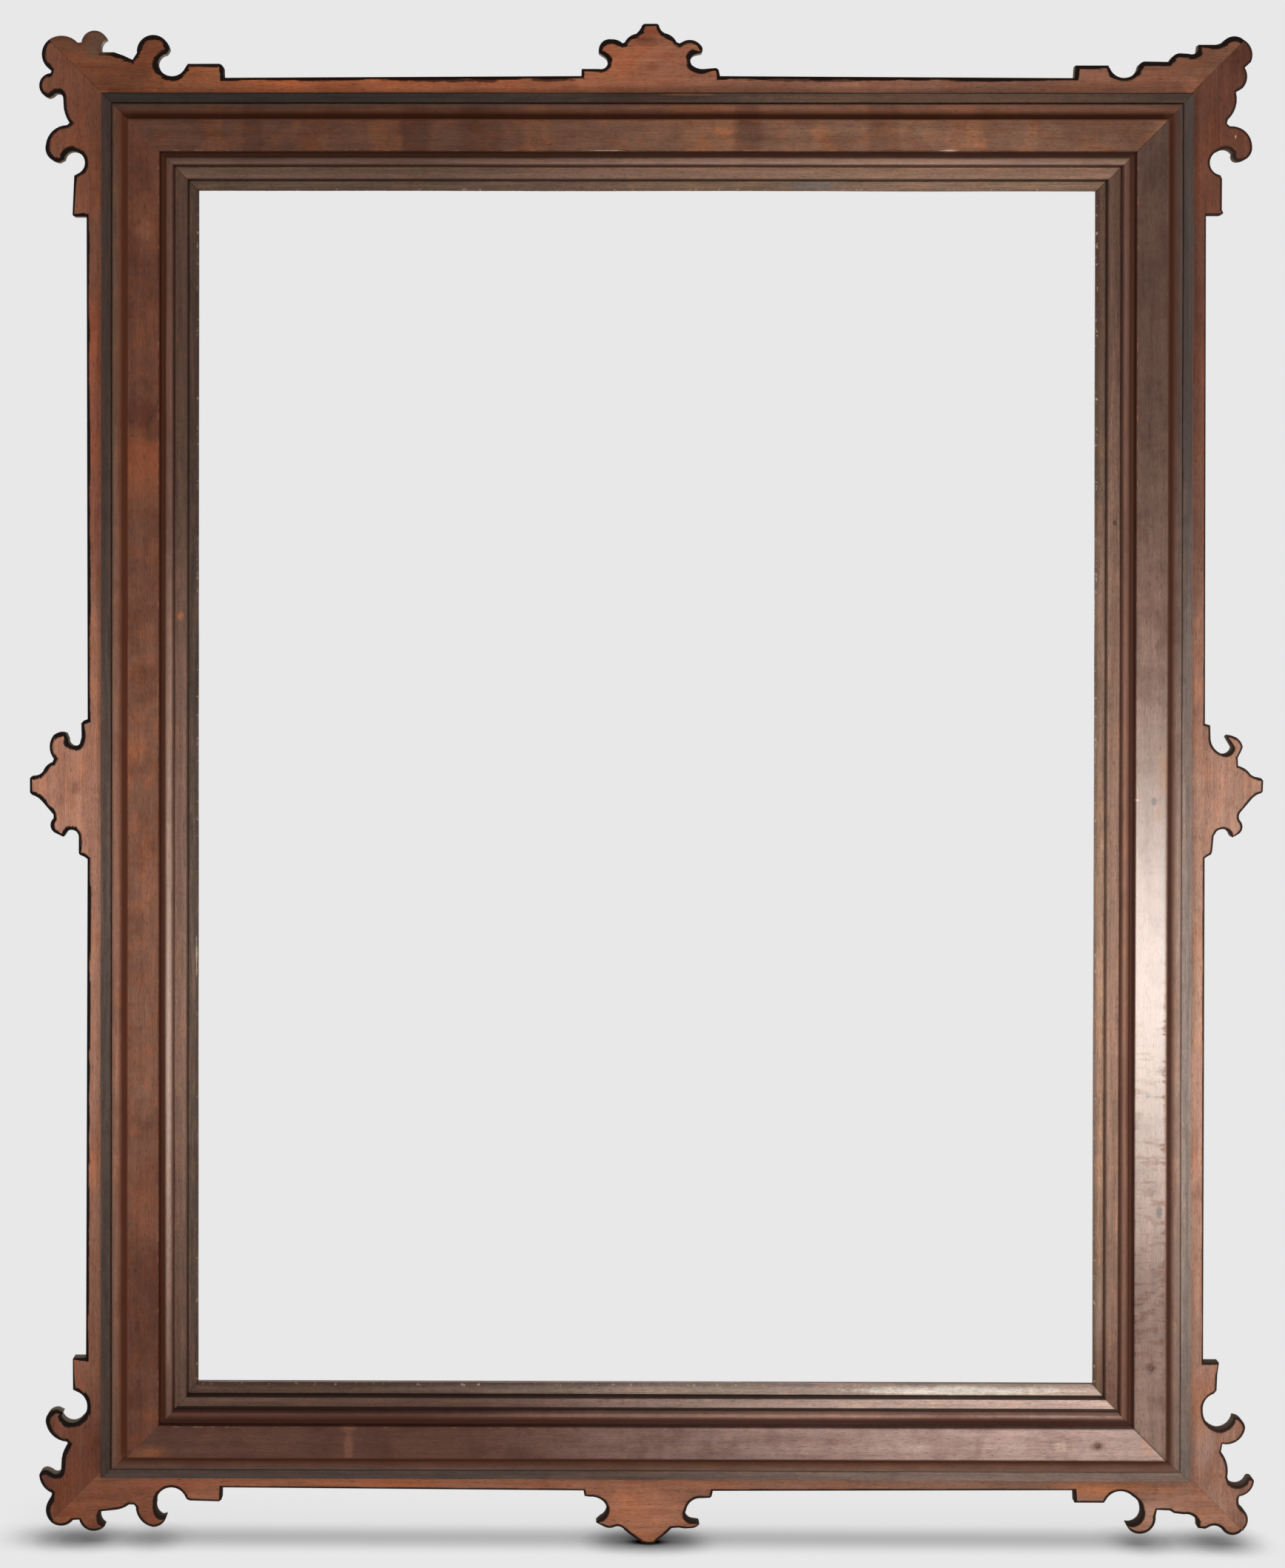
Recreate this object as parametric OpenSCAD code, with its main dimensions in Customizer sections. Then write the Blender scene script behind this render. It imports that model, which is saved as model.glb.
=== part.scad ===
// Victorian walnut picture frame: fret-sawn boards behind a built-up moulding.
// The frame stands in the XZ plane. Its face looks along -Y and its back is the plane Y = 0.
// The origin is the middle of the opening, on the back plane.

/* [Fret boards] */
// Width over the straight edges of the fret boards
board_w = 772; // [700:1:860]
// Height over the straight edges of the fret boards
board_h = 975; // [900:1:1060]
// Thickness of the fret boards
board_t = 7.5; // [6:0.5:10]

/* [Moulding across its width] */
// Each of these is measured inward from the boards' straight edge
// Outer side of the ebonised strip
ebony_at = 13.4; // [13:0.1:14]
// Outer side of the ogee
ogee_at = 22.3; // [22:0.1:23]
// Outer side of the flat panel
panel_at = 34.6; // [34:0.1:35]
// Outer side of the roll
roll_at = 56.6; // [56:0.1:57]
// Outer side of the stepped liner
liner_at = 65.9; // [65.5:0.1:66.5]
// Step from the liner's flat to the sight band
step_at = 74.6; // [74:0.1:75.5]
// Sight edge, where the opening begins
sight_at = 81; // [80.5:0.1:82]
// Inner side of the core rails and boards, the wall of the rabbet
rabbet_at = 72; // [71:0.1:72.5]

/* [Moulding heights] */
// Each of these is measured forward from the face of the fret boards
// Front of the core rails
core_h = 17; // [16:0.5:18]
// Outer edge of the ebonised strip
ebony_low = 16.4; // [15:0.1:17]
// Inner edge of the ebonised strip
ebony_high = 19.6; // [19:0.1:20]
// Crown of the ogee
ogee_h = 26; // [25:0.1:27]
// Face of the panel
panel_h = 33; // [32:0.1:34]
// Crown of the roll
roll_h = 34.2; // [33.5:0.1:35]
// Floor of the groove between panel and roll
groove_h = 28.2; // [27:0.1:29]
// Flat of the liner
flat_h = 28.6; // [28:0.1:29]
// Sight band
sight_h = 23; // [22:0.1:24]
// Back of the liner's lip, where glass and picture rest
seat_h = 17.5; // [17.2:0.1:18.5]

/* [Hangers] */
// Height of the hanger pivots above the middle of the frame
hanger_z = 240; // [150:1:300]
// Distance of the hangers and screws from the boards' straight edge
hanger_at = 47; // [44:0.5:50]
// Radius of the ring's wire
ring_wire_r = 1.4; // [1.2:0.1:1.4]
// Radius of the ring on its centre line
ring_r = 12; // [10.5:0.5:13]
// Width of the strap plate
strap_w = 12; // [10:0.5:14]
// Length of the strap plate above the pivot
strap_l = 34; // [32:0.5:40]
// Thickness of the strap plate
strap_t = 1.2; // [1:0.1:1.5]

/* [Screws, nails and pins] */
// Shank radius of the wood screws
screw_r = 1.6; // [1.4:0.1:1.8]
// Head radius of the wood screws
screw_head_r = 3.2; // [3:0.1:3.5]
// Length of the wood screws
screw_l = 19; // [14:1:22]
// Shank radius of the corner nails
nail_r = 1.2; // [1:0.1:1.4]
// Length of the corner nails
nail_l = 42; // [36:1:48]
// Height of the pin in the right panel, from the middle of the frame
pin_z = -390; // [-395:1:-200]
// Place of the pin in the bottom panel, from the middle of the frame
pin_x = 305; // [150:1:315]
// Radius of the panel pins
pin_r = 1.5; // [1.2:0.1:1.7]

/* [Hidden] */

// The four sides in clockwise order, each a turn of the top side about Y
TOP = 0;
RIGHT = 1;
BOTTOM = 2;
LEFT = 3;

// A sawn curve turns by at most this angle from point to point
saw_step = 11;
// A moulded curve turns by at most this angle
mould_step = 9;
round_fn = 48;
fit_gap = 0.05;
quirk_w = 0.9;
arris = 0.4;
seat_step = 0.5;
knuckle_r = 2.6;
bore_r = ring_wire_r + fit_gap;
bead_r = ring_wire_r + 0.25;
strap_screws = [17, 28];
strap_head_h = 2.2;
screw_places = [-0.36, -0.12, 0.12, 0.36];
screw_sink = 0.2;
screw_head_h = 2;
nail_at = 32;
nail_head_r = 2.2;
nail_head_h = 1.2;
nail_depths = [5, 11];
pin_at = 45;
pin_sink = 0.8;
pin_l = 26;
wedge_y = 60;
wedge_in = 95;

function along(side) = side % 2 == 0 ? board_w : board_h;
function edge(side) = (side % 2 == 0 ? board_h : board_w) / 2;

// Centre of the circle through three points
function centre_of(a, m, b) =
    let (d = 2 * (a[0] * (m[1] - b[1]) + m[0] * (b[1] - a[1]) + b[0] * (a[1] - m[1])),
         aa = a * a, mm = m * m, bb = b * b)
    [(aa * (m[1] - b[1]) + mm * (b[1] - a[1]) + bb * (a[1] - m[1])) / d,
     (aa * (b[0] - m[0]) + mm * (a[0] - b[0]) + bb * (m[0] - a[0])) / d];
function bearing(c, p) = atan2(p[1] - c[1], p[0] - c[0]);
function turn_of(angle) = angle - 360 * floor(angle / 360);
// Points after a, up to and with b, on the arc that passes through m
function arc(a, m, b, step) =
    let (c = centre_of(a, m, b), r = norm(a - c), start = bearing(c, a),
         to_m = turn_of(bearing(c, m) - start), to_b = turn_of(bearing(c, b) - start),
         sweep = to_m < to_b ? to_b : to_b - 360, n = max(2, ceil(abs(sweep) / step)))
    [for (i = [1:n]) i == n ? b : c + r * [cos(start + sweep * i / n), sin(start + sweep * i / n)]];
// A path is a list of stops: [x, y] is a straight run, [[via], [end]] is an arc
function stops(from, path, step, i = 0) =
    i >= len(path) ? []
    : is_list(path[i][0])
        ? concat(arc(from, path[i][0], path[i][1], step), stops(path[i][1], path, step, i + 1))
        : concat([path[i]], stops(path[i], path, step, i + 1));
function trace(path, step) = concat([path[0]], stops(path[0], [for (i = [1:len(path) - 1]) path[i]], step));
function backwards(points) = [for (i = [len(points) - 1:-1:0]) points[i]];

// Corner scrolls. Each starts at the mitre on the corner knob, and runs along its board:
// the first number is the distance from the corner of the straight edges, the second is the
// distance outside the straight edge. The small hook comes first, then the large hook, the
// round cut and the square block.
TL_TOP = [
    [-26.2, 26.2], [[-18, 29], [-6.2, 24.2]], [-3.6, 24.4], [[6.4, 32.5], [14, 26.5]],
    [[10, 22.4], [10.4, 17.6]], [19, 17.6], [[26.2, 15], [31.7, 12.4]], [34.7, 17.1],
    [[44.8, 29.5], [57.2, 19.6]], [55.2, 16.4], [[50.4, 13.6], [49.1, 9.5]],
    [[56.8, 1.3], [68.1, 6.9]], [69.8, 9.6], [90.6, 9.7], [[93.6, 8.6], [94.7, 5.4]], [94.9, 0]
];
TL_LEFT = [
    [-26.2, 26.2], [[-15, 31], [-5, 24.3]], [-3.2, 24.9], [[6.2, 32.8], [13.6, 26.8]],
    [[12.9, 24.2], [11.2, 22.2]], [[11, 18.2], [14.5, 16.2]], [21.3, 15.8],
    [[26.6, 14.3], [31.2, 11.9]], [32.7, 13.6], [[37, 23.8], [46, 28.2]], [[54.8, 26.2], [58.3, 19]],
    [56.4, 15.6], [[51.6, 12.6], [50.8, 8]], [[56.6, 1.5], [65.9, 5.5]], [67.6, 8.6],
    [94.7, 9.7], [95.8, 8.6], [95.8, 0]
];
TR_TOP = [
    [-26.1, 26.1], [[-19.3, 28.9], [-11.6, 25]], [[-8.4, 23.4], [-4, 23]], [5.3, 23], [5.9, 18.3],
    [[8.4, 16.7], [12, 16.8]], [16.7, 17.1], [[21.4, 16.2], [24.2, 13]], [26, 11.2], [42, 11.5],
    [[45.2, 10.2], [46.8, 6.6]], [[55.5, 0.2], [65.2, 4.8]], [67.4, 8.7], [89.9, 8.7], [90.5, 0]
];
TR_RIGHT = [
    [-26.1, 26.1], [[-17.6, 31.6], [-11, 30.6]], [-7.2, 26.4], [[0.8, 28], [7, 25]], [9.6, 20.4],
    [[19.8, 20.3], [28.8, 14.8]], [31.4, 14.2], [33.2, 16.4], [[38, 28.2], [46.8, 31.6]],
    [[54.8, 28.7], [57.2, 21.6]], [[55, 18.8], [51.8, 18.8]], [[48.8, 14.6], [50, 9]],
    [[57.6, 2.6], [65.8, 6.8]], [67, 9.9], [69.4, 11], [90.8, 10.9], [93, 12], [94.3, 10.4], [94.3, 0]
];
BL_LEFT = [
    [-24.3, 24.3], [[-16.5, 27.8], [-7.8, 24.2]], [-4.4, 23.6], [[2.6, 31], [8, 32.4]],
    [[10.9, 30.2], [11, 26]], [9.9, 23.8], [[8.6, 20.2], [12, 17.2]], [19.7, 16.8],
    [[26.1, 14.9], [30, 12.4]], [31.2, 13.4], [[35.6, 23.2], [43.5, 27.6]], [[51, 25.8], [53.3, 19.5]],
    [51.6, 15.8], [49.3, 17], [[44.6, 11.8], [47.1, 3.4]], [[57, -0.8], [66.1, 6.6]], [67.3, 9],
    [88.8, 9], [89.4, 8.4], [89.4, 0]
];
BL_BOTTOM = [
    [-24.3, 24.3], [[-16.9, 27], [-8.8, 23]], [-4.6, 22.7], [[4, 30.4], [13.2, 27]],
    [[9.5, 21.6], [10.5, 16.9]], [19.8, 15.9], [[26.3, 14.3], [30, 12.1]], [33.2, 12.1],
    [34.6, 13.6], [[39, 23.8], [46.5, 27.6]], [[53, 25.2], [55.9, 20.2]], [52.8, 20.9],
    [[49.1, 17.4], [48.6, 12]], [[55, 1], [68.2, 5.2]], [69.8, 8.2], [72, 9.2], [92.4, 9.7],
    [94, 8.4], [94.2, 0]
];
BR_RIGHT = [
    [-27.4, 27.4], [[-20.3, 31.2], [-11.8, 26.4]], [[-7.6, 24.7], [-3.8, 25.3]],
    [[1.6, 33.6], [6.2, 35.3]], [[9, 33.4], [8.2, 30.8]], [[3.3, 23.6], [5.8, 18.2]], [9.5, 16.9],
    [[19.8, 16.4], [27.1, 12.5]], [32.4, 13.5], [[36.6, 26], [43.5, 29.2]], [[48.8, 26.8], [51, 21.4]],
    [[44.4, 17.6], [42, 10.6]], [[46.6, 3], [55.8, -0.1]], [[63.2, 2], [67.2, 7.6]], [69.5, 9.4],
    [79.9, 9.8], [88.6, 11], [88.6, 0]
];
BR_BOTTOM = [
    [-27.4, 27.4], [[-21.3, 30.6], [-13.6, 27]], [[-9.4, 24.3], [-4.6, 25]], [-1.8, 26.4],
    [3.2, 25.8], [3.5, 21.5], [[6.2, 18], [12.9, 16.4]], [19.7, 15.6], [22.7, 13.8], [31.5, 13.4],
    [32.4, 17.8], [[36.4, 27.5], [43.2, 30]], [[50, 27.6], [52.7, 23.6]], [50.8, 23.8],
    [[44.6, 21.4], [42, 14.6]], [[44.4, 7.6], [48.6, 3.8]], [[57.6, 0.6], [66.7, 6.6]], [68.1, 8.6],
    [88.4, 8.6], [88.8, 0]
];
// Corner scrolls at the start and the end of each side, in the order of the sides
SCROLLS = [[TL_TOP, TR_TOP], [TR_RIGHT, BR_RIGHT], [BR_BOTTOM, BL_BOTTOM], [BL_LEFT, TL_LEFT]];

// Crests at the middle of each side, from its start to its end: place along the side, then
// distance outside the straight edge. A pair of hooks flanks a stepped point.
CREST_TOP = [
    [-44.4, 0], [-44.2, 4.9], [-32.2, 4.9], [[-26.4, 8], [-28.2, 13.4]], [-32.2, 16],
    [[-31, 22.4], [-24, 25.4]], [[-19.6, 24.8], [-16, 22.6]], [-14.6, 23.2], [[-12.2, 26.4], [-6.6, 29.2]],
    [[-4.2, 31.8], [-2.4, 35.2]], [-1, 36], [7.6, 36], [9, 35.2], [[10.4, 31.8], [13.2, 29.5]],
    [[18.6, 26.9], [21.2, 23.4]], [23.2, 22.5], [25, 23.4], [[32, 24.8], [37.6, 21.6]],
    [[39.2, 18.4], [38.5, 16]], [34.6, 15.2], [[30.9, 11.8], [32, 7.4]], [[35.4, 5.5], [40.3, 4.9]],
    [48.4, 5.6], [50.2, 4.5], [51.2, 0]
];
CREST_RIGHT = [
    [-42.4, 0], [-41.4, 3.6], [-32.1, 3.9], [[-24.6, 7.2], [-21.6, 12]], [[-22.2, 16.8], [-25.8, 19.2]],
    [-33, 15], [-34.4, 16], [[-31.2, 23.8], [-26.3, 26.1]], [[-22.4, 24.4], [-19, 22.6]],
    [-13.4, 22.9], [[-11.5, 27.6], [-7.4, 31.6]], [[-5.7, 35], [-4.7, 39.2]], [-3.2, 40.2], [4.2, 39.9], [5.3, 39],
    [[7, 35], [10, 31.8]], [18.2, 24.9], [[20.8, 23.6], [24.2, 24.2]], [[30.2, 25.8], [33.9, 22.8]],
    [35.9, 19.2], [34.6, 18.2], [[30.4, 13.8], [31.8, 8.2]], [35, 6.2], [45.4, 5.2], [47.6, 4.5],
    [49.4, 1.4], [50.4, 0]
];
CREST_BOTTOM = [
    [-47.9, 0], [-47, 3.8], [-45.8, 4.8], [-40.2, 5.1], [[-33, 7.2], [-29.4, 13.4]],
    [[-29.6, 18.6], [-33, 21.2]], [-38, 22], [-38.6, 23], [[-36.2, 25], [-32.9, 25.9]],
    [[-28.4, 26.1], [-24.1, 25.5]], [-19.4, 25.9], [-15.8, 29.4], [-10.2, 33.8], [-7.2, 36.6], [-2.2, 37],
    [1.4, 36], [5.1, 33.2], [9.5, 30.3], [13.1, 27.3], [[16.2, 25], [19.7, 25]], [[23.6, 25.9], [27, 25.1]],
    [32.8, 22.2], [29.9, 19.6], [[25.5, 13], [27.7, 7.6]], [[32, 5], [37.2, 4.3]], [40.8, 3.8], [41.6, 0]
];
CREST_LEFT = [
    [-52.6, 0], [-51, 2.2], [-49.6, 5.4], [-48.4, 6.1], [-37.3, 6.1], [[-32.6, 9.6], [-33.6, 14.4]],
    [-37.2, 16.8], [-34.8, 21.8], [[-30.6, 25.5], [-24.4, 23.6]], [-21.8, 23.6], [-12.5, 31.6],
    [[-9.8, 34.8], [-8.2, 38.4]], [-6.6, 39.9], [3.2, 39.9], [4.6, 38.8], [[5.5, 34.2], [8, 30.9]],
    [[12, 28.4], [14.7, 24.2]], [16.8, 23.4], [[25.4, 26.3], [32.9, 23.8]], [[35, 20], [34.2, 15]],
    [30.4, 13.4], [[25.6, 10.2], [27.6, 5.3]], [32, 4.2], [41.4, 4.4], [43.2, 2.8], [44.2, 0]
];
CRESTS = [CREST_TOP, CREST_RIGHT, CREST_BOTTOM, CREST_LEFT];
// The old boards are no longer quite straight: how far each one bows out at its crest
BOWS = [1.3, 0.2, 1.3, -0.9];

// Whole outline of one fret board, as it lies on the top side
function board_outline(side) =
    let (half = along(side) / 2, rim = edge(side),
         head = trace(SCROLLS[side][0], saw_step), tail = trace(SCROLLS[side][1], saw_step),
         crest = trace(CRESTS[side], saw_step))
    concat([[rabbet_at - half, rim - rabbet_at]],
           [for (p = head) [p[0] - half, p[1] + rim]],
           [for (p = crest) [p[0], p[1] + rim + BOWS[side]]],
           [for (p = backwards(tail)) [half - p[0], p[1] + rim]],
           [[half - rabbet_at, rim - rabbet_at]]);

// Cross-sections of the strips: distance in from the straight edge, then height over the boards
CORE = [[ogee_at - quirk_w, 0], [ogee_at - quirk_w, core_h], [rabbet_at, core_h], [rabbet_at, 0]];
EBONY = trace([
    [ebony_at, 0], [ebony_at, ebony_low - 1.4], [[ebony_at + 0.4, ebony_low - 0.4], [ebony_at + 1.3, ebony_low]],
    [[ebony_at + 4.4, ebony_low + 2.2], [ogee_at - quirk_w - 0.5, ebony_high]],
    [ogee_at - quirk_w, ebony_high - 0.3], [ogee_at - quirk_w, 0]
], mould_step);
OGEE = trace([
    [ogee_at, core_h], [ogee_at, ogee_h - 5.4], [[ogee_at + 2.4, ogee_h - 1.4], [ogee_at + 5.8, ogee_h]],
    [[ogee_at + 7.4, ogee_h - 0.5], [ogee_at + 8.4, ogee_h - 1.4]],
    [[panel_at - 2.2, ogee_h - 2.1], [panel_at, ogee_h - 1]], [panel_at, core_h]
], mould_step);
PANEL = [
    [panel_at, core_h], [panel_at, panel_h - arris], [panel_at + arris, panel_h],
    [roll_at - arris, panel_h], [roll_at, panel_h - arris], [roll_at, core_h]
];
ROLL = trace([
    [roll_at, core_h], [roll_at, groove_h], [roll_at + 1.6, groove_h],
    [[roll_at + 3.1, groove_h + 1], [roll_at + 3.6, groove_h + 2.8]],
    [[roll_at + 5.6, roll_h - 0.5], [roll_at + 7.2, roll_h]], [[liner_at - 0.8, roll_h - 0.4], [liner_at, roll_h - 1.6]],
    [liner_at, core_h]
], mould_step);
LINER = trace([
    [liner_at, core_h], [liner_at, flat_h - 0.9], [[liner_at + 0.3, flat_h - 0.3], [liner_at + 1.2, flat_h]],
    [[liner_at + 4.4, flat_h + 0.4], [step_at - 1, flat_h]], [step_at, flat_h - 0.9],
    [step_at, sight_h - 0.7], [[step_at + 0.5, sight_h - 0.1], [step_at + 1.4, sight_h]],
    [[sight_at - 2, sight_h - 0.9], [sight_at - 0.5, sight_h - 3]], [sight_at, sight_h - 4], [sight_at, seat_h],
    [rabbet_at + seat_step, seat_h], [rabbet_at + seat_step, core_h]
], mould_step);

// Turns a shape made for the top side onto its own side
module on_side(side) rotate([0, 90 * side, 0]) children();

// The part of the top side between its two mitres
module mitred(side) {
    half = along(side) / 2;
    rim = edge(side);
    rotate([90, 0, 0])
        linear_extrude(wedge_y)
            polygon([[-half, rim], [half, rim], [half - wedge_in, rim - wedge_in], [wedge_in - half, rim - wedge_in]]);
}

// A strip of moulding with mitred ends, before it is turned onto its side
module strip(section, side)
    intersection() {
        translate([-along(side) / 2, 0, 0])
            rotate([90, 0, 90])
                linear_extrude(along(side))
                    polygon([for (p = section) [-(board_t + p[1]), edge(side) - p[0]]]);
        mitred(side);
    }

// Countersunk screw driven forward from the plane Y = 0, or with a gap its hole, open to the back
module screw_at(x, z, gap)
    translate([x, 0, z])
        rotate([90, 0, 0]) {
            translate([0, 0, screw_sink])
                cylinder(h = screw_head_h, r1 = screw_head_r + gap, r2 = screw_r + gap, $fn = round_fn);
            translate([0, 0, screw_sink + screw_head_h / 2])
                cylinder(h = screw_l - screw_head_h / 2 + gap, r = screw_r + gap, $fn = round_fn);
            if (gap > 0)
                translate([0, 0, -1]) cylinder(h = screw_sink + 1, r = screw_head_r + gap, $fn = round_fn);
        }

// The screws that hold one fret board to its core rail, for the top side
module board_screws(side, gap = 0)
    for (place = screw_places) screw_at(place * along(side), edge(side) - hanger_at, gap);

// Shank holes of the hanger screws
module strap_screw_holes(side)
    for (up = strap_screws)
        translate([side * (board_w / 2 - hanger_at), strap_t + 1, hanger_z + up])
            rotate([90, 0, 0]) cylinder(h = screw_l + fit_gap + 1, r = screw_r + fit_gap, $fn = round_fn);

// Nails across the mitres of the core rails: two at each corner, driven square to each other
module corner_nail_set(gap = 0)
    for (sx = [-1, 1], sz = [-1, 1]) {
        translate([sx * (board_w / 2 - nail_at), -(board_t + nail_depths[0]), sz * (board_h / 2 - ogee_at + quirk_w)])
            rotate([sz > 0 ? 180 : 0, 0, 0]) corner_nail(gap);
        translate([sx * (board_w / 2 - ogee_at + quirk_w), -(board_t + nail_depths[1]), sz * (board_h / 2 - nail_at)])
            rotate([0, -sx * 90, 0]) corner_nail(gap);
    }
module corner_nail(gap) {
    cylinder(h = nail_head_h, r = nail_head_r + gap, $fn = round_fn);
    translate([0, 0, nail_head_h / 2]) cylinder(h = nail_l - nail_head_h / 2 + gap, r = nail_r + gap, $fn = round_fn);
}

// A pin through a panel into its core, its head punched below the face
module pin_at_point(x, z, top, gap)
    translate([x, -(board_t + panel_h) + top, z])
        rotate([-90, 0, 0]) cylinder(h = pin_l - top + gap, r = pin_r + gap, $fn = round_fn);
module pin_holes() {
    pin_at_point(board_w / 2 - pin_at, pin_z, -1, fit_gap);
    pin_at_point(pin_x, pin_at - board_h / 2, -1, fit_gap);
}

module fret_board(side)
    color([0.49, 0.28, 0.19])
        difference() {
            on_side(side)
                difference() {
                    rotate([90, 0, 0]) linear_extrude(board_t) polygon(board_outline(side));
                    board_screws(side, fit_gap);
                }
            strap_screw_holes(-1);
            strap_screw_holes(1);
        }

module core_rail(side)
    color([0.72, 0.58, 0.4])
        difference() {
            on_side(side)
                difference() {
                    strip(CORE, side);
                    board_screws(side, fit_gap);
                }
            strap_screw_holes(-1);
            strap_screw_holes(1);
            corner_nail_set(fit_gap);
            pin_holes();
        }

module ebonised_strip(side) color([0.2, 0.18, 0.17]) on_side(side) strip(EBONY, side);

module ogee(side) color([0.36, 0.25, 0.2]) on_side(side) strip(OGEE, side);

module panel(side)
    color([0.44, 0.28, 0.2])
        difference() {
            on_side(side) strip(PANEL, side);
            pin_holes();
        }

module roll(side) color([0.4, 0.26, 0.21]) on_side(side) strip(ROLL, side);

module sight_liner(side) color([0.34, 0.27, 0.23]) on_side(side) strip(LINER, side);

// Brass strap with a knuckle for the ring, screwed to the back
module hanger_plate(side)
    color([0.75, 0.6, 0.32])
        translate([side * (board_w / 2 - hanger_at), 0, hanger_z])
            difference() {
                union() {
                    translate([-strap_w / 2, 0, 0]) cube([strap_w, strap_t, strap_l]);
                    translate([-strap_w / 2, knuckle_r, 0])
                        rotate([0, 90, 0]) cylinder(h = strap_w, r = knuckle_r, $fn = round_fn);
                }
                translate([-strap_w, knuckle_r, 0])
                    rotate([0, 90, 0]) cylinder(h = 2 * strap_w, r = bore_r, $fn = round_fn);
                for (up = strap_screws)
                    translate([0, strap_t + 1, up])
                        rotate([90, 0, 0]) cylinder(h = strap_t + 2, r = screw_r + fit_gap, $fn = round_fn);
            }

// D-shaped ring: a straight bar in the knuckle and a half round below it
module hanger_ring(side)
    color([0.78, 0.63, 0.35])
        translate([side * (board_w / 2 - hanger_at), knuckle_r, hanger_z]) {
            translate([-ring_r, 0, 0]) rotate([0, 90, 0]) cylinder(h = 2 * ring_r, r = ring_wire_r, $fn = round_fn);
            rotate([90, 180, 0])
                rotate_extrude(angle = 180, $fn = round_fn) translate([ring_r, 0]) circle(r = ring_wire_r, $fn = round_fn);
            for (sx = [-1, 1]) translate([sx * ring_r, 0, 0]) sphere(r = bead_r, $fn = round_fn);
        }

module hanger_screws()
    color([0.7, 0.56, 0.3])
        for (side = [-1, 1], up = strap_screws)
            translate([side * (board_w / 2 - hanger_at), strap_t, hanger_z + up]) {
                rotate([90, 0, 0]) cylinder(h = screw_l, r = screw_r, $fn = round_fn);
                difference() {
                    rotate([-90, 0, 0]) cylinder(h = strap_head_h, r1 = screw_head_r, r2 = screw_head_r - 1.2, $fn = round_fn);
                    translate([-screw_head_r - 1, strap_head_h - 0.8, -0.35]) cube([2 * screw_head_r + 2, 2, 0.7]);
                }
            }

module fret_screws() color([0.45, 0.43, 0.4]) for (side = [TOP, RIGHT, BOTTOM, LEFT]) on_side(side) board_screws(side);

module corner_nails() color([0.4, 0.38, 0.36]) corner_nail_set();

module panel_pins() color([0.16, 0.1, 0.08]) {
    pin_at_point(board_w / 2 - pin_at, pin_z, pin_sink, 0);
    pin_at_point(pin_x, pin_at - board_h / 2, pin_sink, 0);
}

fret_board(TOP);  // fret_board_top
fret_board(RIGHT);  // fret_board_right
fret_board(BOTTOM);  // fret_board_bottom
fret_board(LEFT);  // fret_board_left
core_rail(TOP);  // core_rail_top
core_rail(RIGHT);  // core_rail_right
core_rail(BOTTOM);  // core_rail_bottom
core_rail(LEFT);  // core_rail_left
ebonised_strip(TOP);  // ebonised_strip_top
ebonised_strip(RIGHT);  // ebonised_strip_right
ebonised_strip(BOTTOM);  // ebonised_strip_bottom
ebonised_strip(LEFT);  // ebonised_strip_left
ogee(TOP);  // ogee_top
ogee(RIGHT);  // ogee_right
ogee(BOTTOM);  // ogee_bottom
ogee(LEFT);  // ogee_left
panel(TOP);  // panel_top
panel(RIGHT);  // panel_right
panel(BOTTOM);  // panel_bottom
panel(LEFT);  // panel_left
roll(TOP);  // roll_top
roll(RIGHT);  // roll_right
roll(BOTTOM);  // roll_bottom
roll(LEFT);  // roll_left
sight_liner(TOP);  // sight_liner_top
sight_liner(RIGHT);  // sight_liner_right
sight_liner(BOTTOM);  // sight_liner_bottom
sight_liner(LEFT);  // sight_liner_left
hanger_plate(-1);  // hanger_plate_left
hanger_plate(1);  // hanger_plate_right
hanger_ring(-1);  // hanger_ring_left
hanger_ring(1);  // hanger_ring_right
hanger_screws();
fret_screws();
corner_nails();
panel_pins();
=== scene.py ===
"""Looks of a Victorian walnut picture frame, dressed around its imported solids.

The frame stands in the XZ plane with its face towards -Y and its back on the plane Y = 0. Meshes,
lamps and node groups work in metres. The moulding's profile, the marks and the finishes are written
in millimetres, as a joiner would write them, and MM turns them into metres where they are used.
"""

import functools
import logging
import math
from dataclasses import dataclass, field
from enum import Enum, IntEnum
from typing import Any, Iterable, Union

import bmesh
import bpy
import numpy as np
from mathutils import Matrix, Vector, noise

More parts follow.
